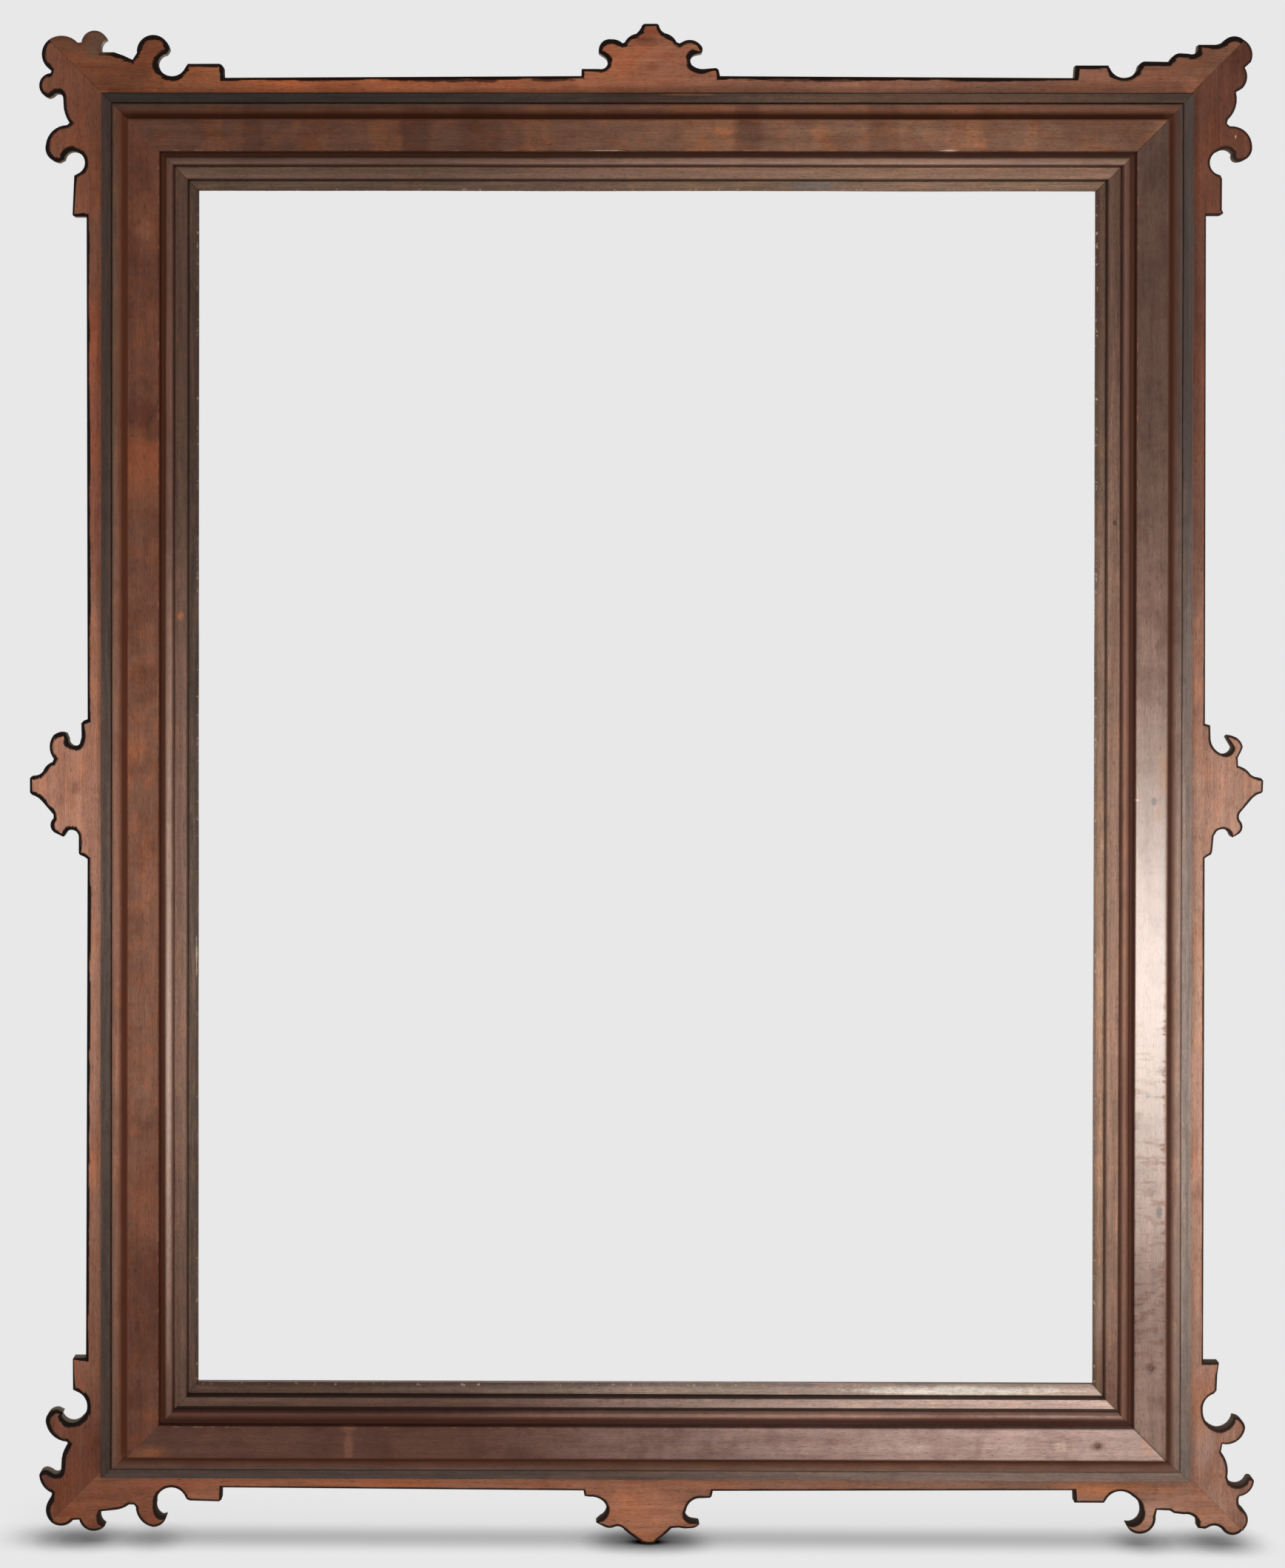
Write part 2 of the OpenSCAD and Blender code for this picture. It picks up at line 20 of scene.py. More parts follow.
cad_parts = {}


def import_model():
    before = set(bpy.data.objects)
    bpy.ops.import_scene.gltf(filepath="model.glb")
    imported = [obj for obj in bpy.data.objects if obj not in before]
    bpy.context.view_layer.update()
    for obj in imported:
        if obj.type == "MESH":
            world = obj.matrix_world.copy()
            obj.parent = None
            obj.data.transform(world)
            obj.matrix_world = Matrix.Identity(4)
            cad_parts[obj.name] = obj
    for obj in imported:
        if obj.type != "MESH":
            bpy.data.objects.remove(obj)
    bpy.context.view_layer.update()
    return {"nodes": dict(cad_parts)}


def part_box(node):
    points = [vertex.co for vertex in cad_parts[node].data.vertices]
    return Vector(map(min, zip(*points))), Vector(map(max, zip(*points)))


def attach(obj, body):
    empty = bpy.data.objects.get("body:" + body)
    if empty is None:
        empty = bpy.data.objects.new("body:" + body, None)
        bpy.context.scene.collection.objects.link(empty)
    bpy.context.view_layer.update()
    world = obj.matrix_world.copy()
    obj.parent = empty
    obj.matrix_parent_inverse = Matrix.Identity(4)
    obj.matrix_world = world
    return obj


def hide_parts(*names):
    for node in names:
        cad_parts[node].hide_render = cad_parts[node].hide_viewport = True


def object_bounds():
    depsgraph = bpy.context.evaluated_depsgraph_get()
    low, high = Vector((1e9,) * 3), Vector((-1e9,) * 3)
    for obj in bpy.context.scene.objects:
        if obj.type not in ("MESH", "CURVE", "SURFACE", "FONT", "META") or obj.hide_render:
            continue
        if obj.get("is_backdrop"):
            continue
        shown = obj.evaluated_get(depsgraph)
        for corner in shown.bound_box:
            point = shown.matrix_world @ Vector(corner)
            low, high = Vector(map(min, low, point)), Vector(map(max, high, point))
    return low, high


LOG = logging.getLogger("walnut_frame")
MM = 0.001
FRAME_BODY = "frame"
NEAR = 0.01 * MM
FLAT_DEGREES = 0.3

Socket = bpy.types.NodeSocket


@dataclass(frozen=True)
class Paint:
    """A colour in the eight-bit values of a display."""

    red: float
    green: float
    blue: float

    @property
    def linear(self) -> tuple[float, float, float, float]:
        """The same colour as the shader takes it."""
        return tuple(_to_linear(value / 255) for value in (self.red, self.green, self.blue)) + (1.0,)


def _to_linear(value: float) -> float:
    """One display value from 0 to 1, as light."""
    if value <= 0.04045:
        return value / 12.92
    return ((value + 0.055) / 1.055) ** 2.4


@dataclass(frozen=True)
class Tint:
    """A factor for red, green and blue, which darkens, pales or warms what lies under it."""

    red: float
    green: float
    blue: float

    @property
    def linear(self) -> tuple[float, float, float, float]:
        """The factors as the shader takes them."""
        return (self.red, self.green, self.blue, 1.0)


Stain = Union[Paint, Tint]
Feed = Union[Socket, float, tuple, Paint, Tint, Vector]

# Paints and tints shared by several finishes
# Black dirt in joints, which on the top also stands in as painted shade
BLACK_DIRT_AND_SHADE = Paint(18, 12, 10)
# Dark at the boards' straight edges: dirt, and painted shade on the top and left
EDGE_DIRT_AND_SHADE = Paint(40, 20, 14)
BARE = Paint(255, 255, 255)
# Rubbed wear, which along some arrises also stands in as painted highlights
PALE_RUB_AND_GLINT = Paint(222, 196, 172)
OLD_RUB = Paint(164, 112, 84)
WARM = Tint(1.36, 1.02, 0.72)
DEEP = Tint(0.66, 0.58, 0.56)
DULL = Tint(0.86, 0.92, 0.94)
LIGHT = Tint(1.42, 1.36, 1.30)
AMBER = Tint(1.45, 1.28, 1.08)
# A pale dusty tint, partly painted sheen
DUST_AND_SHEEN = Tint(1.14, 1.13, 1.12)
# Darkens creases, as dirt and painted shade
CREASE_DIRT_AND_SHADE = Tint(0.5, 0.42, 0.4)


class Outline(IntEnum):
    """The number of each kind of mark, from which the seed of its outline is worked out."""

    GRAIN = 1
    CLOUDS = 2
    # the broad pale patch, partly painted sheen and light
    BLOOM = 10
    PATCHES = 20
    SEAMS = 40
    POLISH = 50
    SCUFFS = 51
    WEAR = 60
    SCRATCHES = 61
    STREAKS = 70
    CLEANED = 71
    AGED = 72


class Side(Enum):
    """The four sides of the frame, each with the direction that points out of it."""

    TOP = (0, 0, 1)
    RIGHT = (1, 0, 0)
    BOTTOM = (0, 0, -1)
    LEFT = (-1, 0, 0)

    @property
    def word(self) -> str:
        """The side's name as the nodes spell it."""
        return self.name.lower()

    @property
    def outward(self) -> Vector:
        """Direction out of the frame."""
        return Vector(self.value)

    @property
    def lengthwise(self) -> Vector:
        """Direction along the side: X at the top and bottom, Z at the left and right."""
        return Vector((abs(self.value[2]), 0, abs(self.value[0])))

    @property
    def upright(self) -> bool:
        """Whether the side stands rather than lies."""
        return self in (Side.LEFT, Side.RIGHT)

    def node(self, member: str) -> str:
        """Name of this side's piece of a member."""
        return f"{member}_{self.word}"


@dataclass(frozen=True)
class Profile:
    """Where each member of the moulding begins, in millimetres inward from the boards' straight edge."""

    ebony: float = 13.4
    ogee: float = 22.3
    panel: float = 34.6
    roll: float = 56.6
    liner: float = 65.9
    step: float = 74.6
    sight: float = 81.0

    @functools.cache
    def edge(self, side: Side) -> float:
        """Distance in metres of a side's straight edge from the middle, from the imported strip."""
        low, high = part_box(side.node("ebonised_strip"))
        return max(low.dot(side.outward), high.dot(side.outward)) + self.ebony * MM

    def half_length(self, side: Side) -> float:
        """Half the length of a side in metres, over the straight edges of its neighbours."""
        return self.edge(Side.TOP if side.upright else Side.RIGHT)


PROFILE = Profile()


class Tree:
    """A shader node tree that is filled by short calls."""

    def __init__(self, tree: bpy.types.NodeTree) -> None:
        """Takes the tree to fill.

        Args:
            tree: The node tree of a material, a world or a group.
        """
        self.tree = tree

    def feed(self, socket: Socket, value: Feed) -> None:
        """Links a socket to an output, or sets its value.

        Args:
            socket: The input socket.
            value: An output socket, a colour, a vector or a number.
        """
        if isinstance(value, Socket):
            self.tree.links.new(value, socket)
        elif isinstance(value, (Paint, Tint)):
            socket.default_value = value.linear
        else:
            socket.default_value = value

    def add(self, kind: str, feeds: dict[Union[str, int], Feed] | None = None,
            **settings: Any) -> bpy.types.Node:
        """Adds a node.

        Args:
            kind: The node's type name.
            feeds: What goes into its inputs, by name or number.
            **settings: Properties of the node, set before its inputs.

        Returns:
            The new node.
        """
        node = self.tree.nodes.new(kind)
        for name, value in settings.items():
            setattr(node, name, value)
        for name, value in (feeds or {}).items():
            self.feed(node.inputs[name], value)
        return node

    def group(self, shared: bpy.types.NodeTree, feeds: dict[str, Feed]) -> bpy.types.bpy_prop_collection:
        """Places a shared node group and returns its outputs."""
        return self.add("ShaderNodeGroup", feeds, node_tree=shared).outputs

    def math(self, operation: str, *values: Feed, clamp: bool = False) -> Socket:
        """Adds a Math node and returns its output."""
        node = self.add("ShaderNodeMath", dict(enumerate(values)), operation=operation, use_clamp=clamp)
        return node.outputs[0]

    def plus(self, first: Feed, second: Feed, clamp: bool = False) -> Socket:
        """Adds two numbers."""
        return self.math("ADD", first, second, clamp=clamp)

    def minus(self, first: Feed, second: Feed) -> Socket:
        """Takes the second number from the first."""
        return self.math("SUBTRACT", first, second)

    def times(self, first: Feed, second: Feed) -> Socket:
        """Multiplies two numbers."""
        return self.math("MULTIPLY", first, second)

    def over(self, first: Feed, second: Feed) -> Socket:
        """Divides the first number by the second."""
        return self.math("DIVIDE", first, second)

    def scaled(self, value: Feed, factor: Feed, added: Feed, clamp: bool = False) -> Socket:
        """Multiplies a number by a factor, then adds another number."""
        return self.math("MULTIPLY_ADD", value, factor, added, clamp=clamp)

    def greater(self, first: Feed, second: Feed) -> Socket:
        """Takes the greater of two numbers."""
        return self.math("MAXIMUM", first, second)

    def apart(self, first: Feed, second: Feed) -> Socket:
        """How far apart two numbers lie."""
        return self.math("ABSOLUTE", self.minus(first, second))

    def fade(self, value: Feed, start: Feed, end: Feed) -> Socket:
        """Rises smoothly from 0 where value is start to 1 where it is end."""
        feeds = {"Value": value, "From Min": start, "From Max": end}
        return self.add("ShaderNodeMapRange", feeds, interpolation_type="SMOOTHSTEP").outputs[0]

    def ramp(self, value: Feed, low: float, high: float, to_low: float = 0.0,
             to_high: float = 1.0) -> Socket:
        """Maps one span of a value onto another, in a straight line."""
        feeds = {"Value": value, "From Min": low, "From Max": high, "To Min": to_low, "To Max": to_high}
        return self.add("ShaderNodeMapRange", feeds).outputs[0]

    def mix(self, factor: Feed, first: Feed, second: Feed, blend: str = "MIX") -> Socket:
        """Mixes two colours and returns the result."""
        feeds = {0: factor, 6: first, 7: second}
        return self.add("ShaderNodeMix", feeds, data_type="RGBA", blend_type=blend).outputs[2]

    def lay(self, mask: Feed, colour: Feed, stain: Stain) -> Socket:
        """Lays a paint over a colour, or multiplies the colour by a tint, where the mask says."""
        return self.mix(mask, colour, stain, blend="MULTIPLY" if isinstance(stain, Tint) else "MIX")

    def shade(self, colour: Feed, value: Feed, at_zero: float, at_one: float) -> Socket:
        """Brightens or darkens a colour by a factor that runs with a value from 0 to 1."""
        factor = self.ramp(value, 0.0, 1.0, at_zero, at_one)
        return self.mix(1.0, colour, self.place(factor, factor, factor), blend="MULTIPLY")

    def place(self, x: Feed, y: Feed, z: Feed) -> Socket:
        """Joins three numbers into a vector."""
        return self.add("ShaderNodeCombineXYZ", {0: x, 1: y, 2: z}).outputs[0]

    def parts(self, vector: Feed) -> bpy.types.bpy_prop_collection:
        """Takes a vector apart into its three numbers."""
        return self.add("ShaderNodeSeparateXYZ", {0: vector}).outputs

    def noise(self, vector: Feed, scale: float = 1.0, detail: float = 2.0, rough: float = 0.5,
              distortion: float = 0.0) -> Socket:
        """Adds a Noise texture and returns its value."""
        feeds = {"Vector": vector, "Scale": scale, "Detail": detail, "Roughness": rough,
                 "Distortion": distortion}
        return self.add("ShaderNodeTexNoise", feeds).outputs[0]


SOCKET_TYPES = {"number": "NodeSocketFloat", "vector": "NodeSocketVector", "colour": "NodeSocketColor"}


def open_group(name: str, inputs: dict[str, str],
               outputs: dict[str, str]) -> tuple[Tree, dict[str, Socket], dict[str, Socket]]:
    """Starts a shader node group.

    Args:
        name: The group's name.
        inputs: The kind of each input by its name: number, vector or colour.
        outputs: The kind of each output by its name.

    Returns:
        The group's tree, its inputs as sockets to read, and its outputs as sockets to fill.
    """
    group = bpy.data.node_groups.new(name, "ShaderNodeTree")
    for words, direction in ((inputs, "INPUT"), (outputs, "OUTPUT")):
        for word, kind in words.items():
            group.interface.new_socket(name=word, in_out=direction, socket_type=SOCKET_TYPES[kind])
    tree = Tree(group)
    given = tree.add("NodeGroupInput").outputs
    made = tree.add("NodeGroupOutput").inputs
    return tree, {word: given[word] for word in inputs}, {word: made[word] for word in outputs}


def open_mask(name: str, *words: str) -> tuple[Tree, dict[str, Socket], Socket]:
    """Starts a node group that turns a place on a side and some numbers into a mask.

    Args:
        name: The group's name.
        *words: Its inputs besides Along and Inward, all numbers.

    Returns:
        The group's tree, its inputs as sockets to read, and the mask's socket to fill.
    """
    inputs = dict.fromkeys(("Along", "Inward") + words, "number")
    tree, given, made = open_group(name, inputs, {"Mask": "number"})
    return tree, given, made["Mask"]


class Effects:
    """The shared node groups, each built once and placed in the materials with their own values."""

    def __init__(self) -> None:
        """Builds every group."""
        self.side_place = self._side_place()
        self.timber = self._timber()
        self.marks = {Cloud: self._cloud(), Seam: self._seam(), Patch: self._patch(),
                      MitreLine: self._mitre(), Scratches: self._scratch()}
        self.tarnish = self._tarnish()

    @staticmethod
    def _side_place() -> bpy.types.NodeTree:
        """Turns a point into its place on one side: along it, inward from its edge, and height."""
        inputs = {"Position": "vector", "Lengthwise": "vector", "Outward": "vector", "Edge": "number"}
        outputs = dict.fromkeys(("Along", "Inward", "Height"), "number")
        tree, given, made = open_group("Side Place", inputs, outputs)
        dots = {}
        for word in ("Lengthwise", "Outward"):
            feeds = {0: given["Position"], 1: given[word]}
            dots[word] = tree.add("ShaderNodeVectorMath", feeds, operation="DOT_PRODUCT").outputs["Value"]
        tree.feed(made["Along"], dots["Lengthwise"])
        tree.feed(made["Inward"], tree.minus(given["Edge"], dots["Outward"]))
        tree.feed(made["Height"], tree.times(tree.parts(given["Position"])[1], -1.0))
        return tree.tree

    @staticmethod
    def _timber() -> bpy.types.NodeTree:
        """Grain of sawn walnut that runs lengthwise: broad figure, fine fibre and open pores."""
        inputs = dict.fromkeys(("Along", "Inward", "Height", "Stripe", "Seed"), "number")
        outputs = dict.fromkeys(("Figure", "Fibre", "Pores"), "number")
        tree, given, made = open_group("Timber", inputs, outputs)
        sway_width, wave_share, share = 22 * MM, 0.16, 0.5

        def strand(length: float, breadth: float, **look: float) -> Socket:
            """Noise drawn out along the grain, of a length and breadth in millimetres."""
            along = tree.plus(tree.over(given["Along"], length * MM), given["Seed"])
            across = tree.over(given["Inward"], breadth * MM)
            deep = tree.over(given["Height"], breadth * MM)
            return tree.noise(tree.place(along, across, deep), **look)

        sway = strand(length=110, breadth=34, detail=1.0)
        turns = tree.over(tree.scaled(sway, sway_width, given["Inward"]), given["Stripe"])
        wave = tree.math("SINE", tree.times(turns, math.tau))
        drift = strand(length=130, breadth=5, detail=3.0, rough=0.55, distortion=0.3)
        figure = tree.scaled(wave, wave_share, tree.ramp(drift, 0.3, 0.7))
        long = strand(length=36, breadth=0.7, detail=2.0, rough=0.6)
        short = strand(length=2.6, breadth=0.7, detail=2.0, rough=0.7)
        fibre = tree.scaled(short, share, tree.times(long, share))
        pores = strand(length=5, breadth=0.4, detail=1.0)
        tree.feed(made["Figure"], tree.plus(figure, 0.0, clamp=True))
        tree.feed(made["Fibre"], tree.ramp(fibre, 0.34, 0.66))
        tree.feed(made["Pores"], tree.fade(pores, 0.6, 0.72))
        return tree.tree

    @staticmethod
    def _cloud() -> bpy.types.NodeTree:
        """Soft blotches of one stain over another."""
        tree, given, mask = open_mask("Cloud", "Length", "Breadth", "Cover", "Softness", "Seed")
        along = tree.over(given["Along"], given["Length"])
        across = tree.over(given["Inward"], given["Breadth"])
        level = tree.noise(tree.place(along, across, given["Seed"]), detail=4.0, rough=0.6, distortion=0.2)
        low = tree.minus(given["Cover"], given["Softness"])
        high = tree.plus(given["Cover"], given["Softness"])
        tree.feed(mask, tree.fade(level, high, low))
        return tree.tree

    @staticmethod
    def _seam() -> bpy.types.NodeTree:
        """A line along a member, whole or broken: dirt and painted shade in a crease or joint, or a rubbed
        arris and painted highlight along an edge.
        """
        tree, given, mask = open_mask("Seam", "At", "Half", "Soft", "Run", "Cover", "Seed")
        break_breadth, break_softness = 3 * MM, 0.06
        gone = tree.plus(given["Half"], given["Soft"])
        line = tree.fade(tree.apart(given["Inward"], given["At"]), gone, given["Half"])
        spot = tree.place(tree.over(given["Along"], given["Run"]), given["Seed"],
                          tree.over(given["Inward"], break_breadth))
        level = tree.noise(spot, detail=3.0, rough=0.65)
        high = tree.plus(given["Cover"], break_softness)
        low = tree.minus(given["Cover"], break_softness)
        tree.feed(mask, tree.times(line, tree.fade(level, high, low)))
        return tree.tree

    @staticmethod
    def _patch() -> bpy.types.NodeTree:
        """One mark with a ragged outline, at a place on a side."""
        tree, given, mask = open_mask("Patch", "At Along", "At Inward", "Half Length", "Half Breadth",
                                      "Soft", "Ragged", "Seed")
        notch, mean = 9 * MM, 0.5
        long = tree.over(tree.minus(given["Along"], given["At Along"]), given["Half Length"])
        wide = tree.over(tree.minus(given["Inward"], given["At Inward"]), given["Half Breadth"])
        reach = tree.add("ShaderNodeVectorMath", {0: tree.place(long, wide, 0.0)}, operation="LENGTH")
        spot = tree.place(tree.over(given["Along"], notch), tree.over(given["Inward"], notch),
                          given["Seed"])
        ragged = tree.times(tree.minus(tree.noise(spot, detail=4.0, rough=0.65), mean), given["Ragged"])
        reach = tree.plus(reach.outputs["Value"], ragged)
        tree.feed(mask, tree.fade(reach, 1.0, tree.minus(1.0, given["Soft"])))
        return tree.tree

    @staticmethod
    def _mitre() -> bpy.types.NodeTree:
        """The joint line at each end of a side, with its own strength at the two ends."""
        tree, given, mask = open_mask("Mitre", "Half Length", "Half", "At Low End", "At High End")
        gone, full = 2.2, 0.4
        run = tree.plus(tree.math("ABSOLUTE", given["Along"]), given["Inward"])
        line = tree.fade(tree.apart(run, given["Half Length"]), tree.times(given["Half"], gone),
                         tree.times(given["Half"], full))
        high_end = tree.math("GREATER_THAN", given["Along"], 0.0)
        gain = tree.minus(given["At High End"], given["At Low End"])
        tree.feed(mask, tree.times(line, tree.scaled(high_end, gain, given["At Low End"])))
        return tree.tree

    @staticmethod
    def _scratch() -> bpy.types.NodeTree:
        """Short scratches and rubs that lie at an angle to the grain."""
        tree, given, mask = open_mask("Scratch", "Angle", "Cover", "Seed")
        length, breadth, softness = 11 * MM, 0.9 * MM, 0.05
        feeds = {"Vector": tree.place(given["Along"], given["Inward"], 0.0), "Angle": given["Angle"]}
        turned = tree.parts(tree.add("ShaderNodeVectorRotate", feeds, rotation_type="Z_AXIS").outputs[0])
        spot = tree.place(tree.over(turned[0], length), tree.over(turned[1], breadth), given["Seed"])
        high = tree.plus(given["Cover"], softness)
        tree.feed(mask, tree.fade(tree.noise(spot, detail=2.0), given["Cover"], high))
        return tree.tree

    @staticmethod
    def _tarnish() -> bpy.types.NodeTree:
        """Brown bloom and fine wear on old metal."""
        inputs = {"Position": "vector", "Bright": "colour", "Dull": "colour", "Cover": "number"}
        outputs = {"Colour": "colour", "Dullness": "number", "Relief": "number"}
        tree, given, made = open_group("Tarnish", inputs, outputs)
        broad_share, fine_share, softness = 0.85, 0.3, 0.22
        broad = tree.noise(given["Position"], scale=160.0, detail=4.0, rough=0.65)
        fine = tree.noise(given["Position"], scale=1500.0, detail=2.0)
        level = tree.scaled(fine, fine_share, tree.times(broad, broad_share))
        clean, dulled = tree.plus(given["Cover"], softness), tree.minus(given["Cover"], softness)
        dullness = tree.fade(level, clean, dulled)
        tree.feed(made["Colour"], tree.mix(dullness, given["Bright"], given["Dull"]))
        tree.feed(made["Dullness"], dullness)
        tree.feed(made["Relief"], level)
        return tree.tree


@dataclass(frozen=True)
class Cloud:
    """Soft blotches of a stain over a member, of a length and breadth in millimetres."""

    paint: Stain
    strength: float
    length: float
    breadth: float
    cover: float = 0.5
    softness: float = 0.12

    @property
    def feeds(self) -> dict[str, float]:
        """What its node group takes."""
        return {"Length": self.length * MM, "Breadth": self.breadth * MM, "Cover": self.cover,
                "Softness": self.softness}


@dataclass(frozen=True)
class Seam:
    """A line along a member, in millimetres from the straight edge. A cover of 1 leaves it whole."""

    paint: Stain
    strength: float
    at: float
    half: float
    soft: float = 0.6
    run: float = 40.0
    cover: float = 1.0

    @property
    def feeds(self) -> dict[str, float]:
        """What its node group takes."""
        return {"At": self.at * MM, "Half": self.half * MM, "Soft": self.soft * MM,
                "Run": self.run * MM, "Cover": self.cover}


@dataclass(frozen=True)
class Patch:
    """One mark on a member: its place along the side and inward, and its half sizes, in millimetres."""

    paint: Stain
    strength: float
    along: float
    inward: float
    half_length: float
    half_breadth: float
    soft: float = 0.7
    ragged: float = 0.6

    @property
    def feeds(self) -> dict[str, float]:
        """What its node group takes."""
        return {"At Along": self.along * MM, "At Inward": self.inward * MM,
                "Half Length": self.half_length * MM, "Half Breadth": self.half_breadth * MM,
                "Soft": self.soft, "Ragged": self.ragged}


@dataclass(frozen=True)
class MitreLine:
    """The dark joint at a side's low and high end, along +X or +Z, half as wide as half says."""

    paint: Paint
    low: float
    high: float
    half: float = 0.35

    @property
    def feeds(self) -> dict[str, float]:
        """What its node group takes."""
        return {"Half": self.half * MM, "At Low End": self.low, "At High End": self.high}


@dataclass(frozen=True)
class Scratches:
    """Short rubs across the grain, which roughen the polish by their strength."""

    strength: float
    angle: float = 1.1
    cover: float = 0.66

    @property
    def feeds(self) -> dict[str, float]:
        """What its node group takes."""
        return {"Angle": self.angle, "Cover": self.cover}


class Surface:
    """The wood of one side while its material is made: its nodes, and where each point lies."""

    SEEDS = 89
    SEED_STEP = 3.7

    def __init__(self, finish: str, side: Side, effects: Effects) -> None:
        """Starts the material and works out the place of each point.

        Args:
            finish: The finish's name.
            side: The side that the wood lies on.
            effects: The shared node groups.
        """
        self.finish = finish
        self.side = side
        self.effects = effects
        self.material = bpy.data.materials.new(f"{finish}_{side.word}")
        self.material.use_nodes = True
        self.tree = Tree(self.material.node_tree)
        self.shader = self.material.node_tree.nodes["Principled BSDF"]
        position = self.tree.add("ShaderNodeTexCoord").outputs["Object"]
        feeds = {"Position": position, "Lengthwise": side.lengthwise, "Outward": side.outward,
                 "Edge": PROFILE.edge(side)}
        place = self.tree.group(effects.side_place, feeds)
        self.flat = {"Along": place["Along"], "Inward": place["Inward"]}
        self.height = place["Height"]
        self.grain: dict[str, Socket] = {}
        self.colour: Feed = 0.0
        self.dirt: Feed = 0.0

    def seed(self, number: int) -> float:
        """A seed of this finish's own for a numbered mark, so that no two finishes look alike."""
        return float(sum(ord(letter) for letter in self.finish) % self.SEEDS) + self.SEED_STEP * number

    def grow(self, stripe: float) -> None:
        """Works out the grain, whose stripes have a width in millimetres."""
        feeds = {**self.flat, "Height": self.height, "Stripe": stripe * MM,
                 "Seed": self.seed(Outline.GRAIN) + self.side.value[0]}
        outputs = self.tree.group(self.effects.timber, feeds)
        self.grain = {word: outputs[word] for word in ("Figure", "Fibre", "Pores")}

    def mask(self, mark: Union[Cloud, Seam, Patch, Scratches], number: int, shift: float = 0.0) -> Socket:
        """Works out how strongly a mark covers each point.

        Args:
            mark: The mark.
            number: Its number, from which its outline follows.
            shift: What is added to its seed.

        Returns:
            Its cover, from 0 to its strength.
        """
        feeds = {**self.flat, **mark.feeds, "Seed": self.seed(number) + shift}
        return self.tree.times(self.tree.group(self.effects.marks[type(mark)], feeds)[0], mark.strength)

    def lay(self, mark: Union[Cloud, Seam, Patch], number: int, shift: float = 0.0) -> Socket:
        """Lays a mark over the colour so far.

        Args:
            mark: The mark, with its paint or tint.
            number: Its number, from which its outline follows.
            shift: What is added to its seed.

        Returns:
            Its mask.
        """
        mask = self.mask(mark, number, shift)
        self.colour = self.tree.lay(mask, self.colour, mark.paint)
        return mask

    def soil(self, mask: Feed) -> None:
        """Counts a mask as dirt, which takes the gloss away."""
        self.dirt = self.tree.greater(self.dirt, mask)


@dataclass(frozen=True)
class SawnEdge:
    """The sawn walls of a fret board, and the dark that creeps from them over its face: dirt, with painted
    shade where the edges face away from the light.

    The board's edge layer runs from 0 to 1 on its face, and lies over WALL_FROM on its walls.
    """

    # The stain, the wall paint and the grime differ by side, partly as painted light and shade
    stain: Paint
    wall: Paint
    grime_and_shade: float
    clean: Patch | None = None

    STREAKS = Cloud(BARE, 1.0, 30, 7, 0.5, 0.08)
    CLEAN_BELOW = 0.2
    CLEAN_BY_GRIME_AND_SHADE = 0.6
    WALL_FROM = 1.5
    WALL_DEEP = 6.0 * MM
    WALL_DARKEST = 0.5

    def lay(self, surface: Surface) -> None:
        """Stains the face near the edge and paints the walls.

        Args:
            surface: The board's surface, whose mesh carries FretBoard's edge layer.
        """
        tree = surface.tree
        edge = tree.add("ShaderNodeAttribute", attribute_name=FretBoard.EDGE_LAYER).outputs["Fac"]
        spread = tree.scaled(surface.mask(self.STREAKS, Outline.STREAKS), self.grime_and_shade, edge)
        stain = tree.fade(spread, self.CLEAN_BELOW + self.CLEAN_BY_GRIME_AND_SHADE * self.grime_and_shade, 1.0)
        if self.clean:
            stain = tree.scaled(surface.mask(self.clean, Outline.CLEANED), -1.0, stain, clamp=True)
        surface.colour = tree.mix(stain, surface.colour, self.stain)
        darker = tree.ramp(surface.height, 0.0, self.WALL_DEEP, 0.0, self.WALL_DARKEST)
        wall = tree.mix(darker, self.wall, self.stain)
        surface.colour = tree.mix(tree.math("GREATER_THAN", edge, self.WALL_FROM), surface.colour, wall)
        surface.soil(stain)


@dataclass(frozen=True)
class BareBack:
    """Unfinished wood on the back of a board, darkened unevenly by age."""

    tone: Paint
    grain: float = 0.28
    figure: tuple[float, float] = (1.18, 0.84)
    aged: Cloud = Cloud(DEEP, 0.6, 90, 26, 0.48, 0.16)

    STARTS = (1.0 * MM, 0.2 * MM)

    def lay(self, surface: Surface, pore: Paint) -> None:
        """Paints everything that lies at the board's back.

        Args:
            surface: The board's surface.
            pore: The colour of its pores.
        """
        tree = surface.tree
        back = tree.fade(surface.height, *self.STARTS)
        bare = tree.mix(surface.grain["Fibre"], self.tone, pore)
        bare = tree.mix(1.0 - self.grain, bare, self.tone)
        bare = tree.shade(bare, surface.grain["Figure"], *self.figure)
        bare = tree.lay(surface.mask(self.aged, Outline.AGED), bare, self.aged.paint)
        surface.colour = tree.mix(back, surface.colour, bare)
        surface.soil(back)


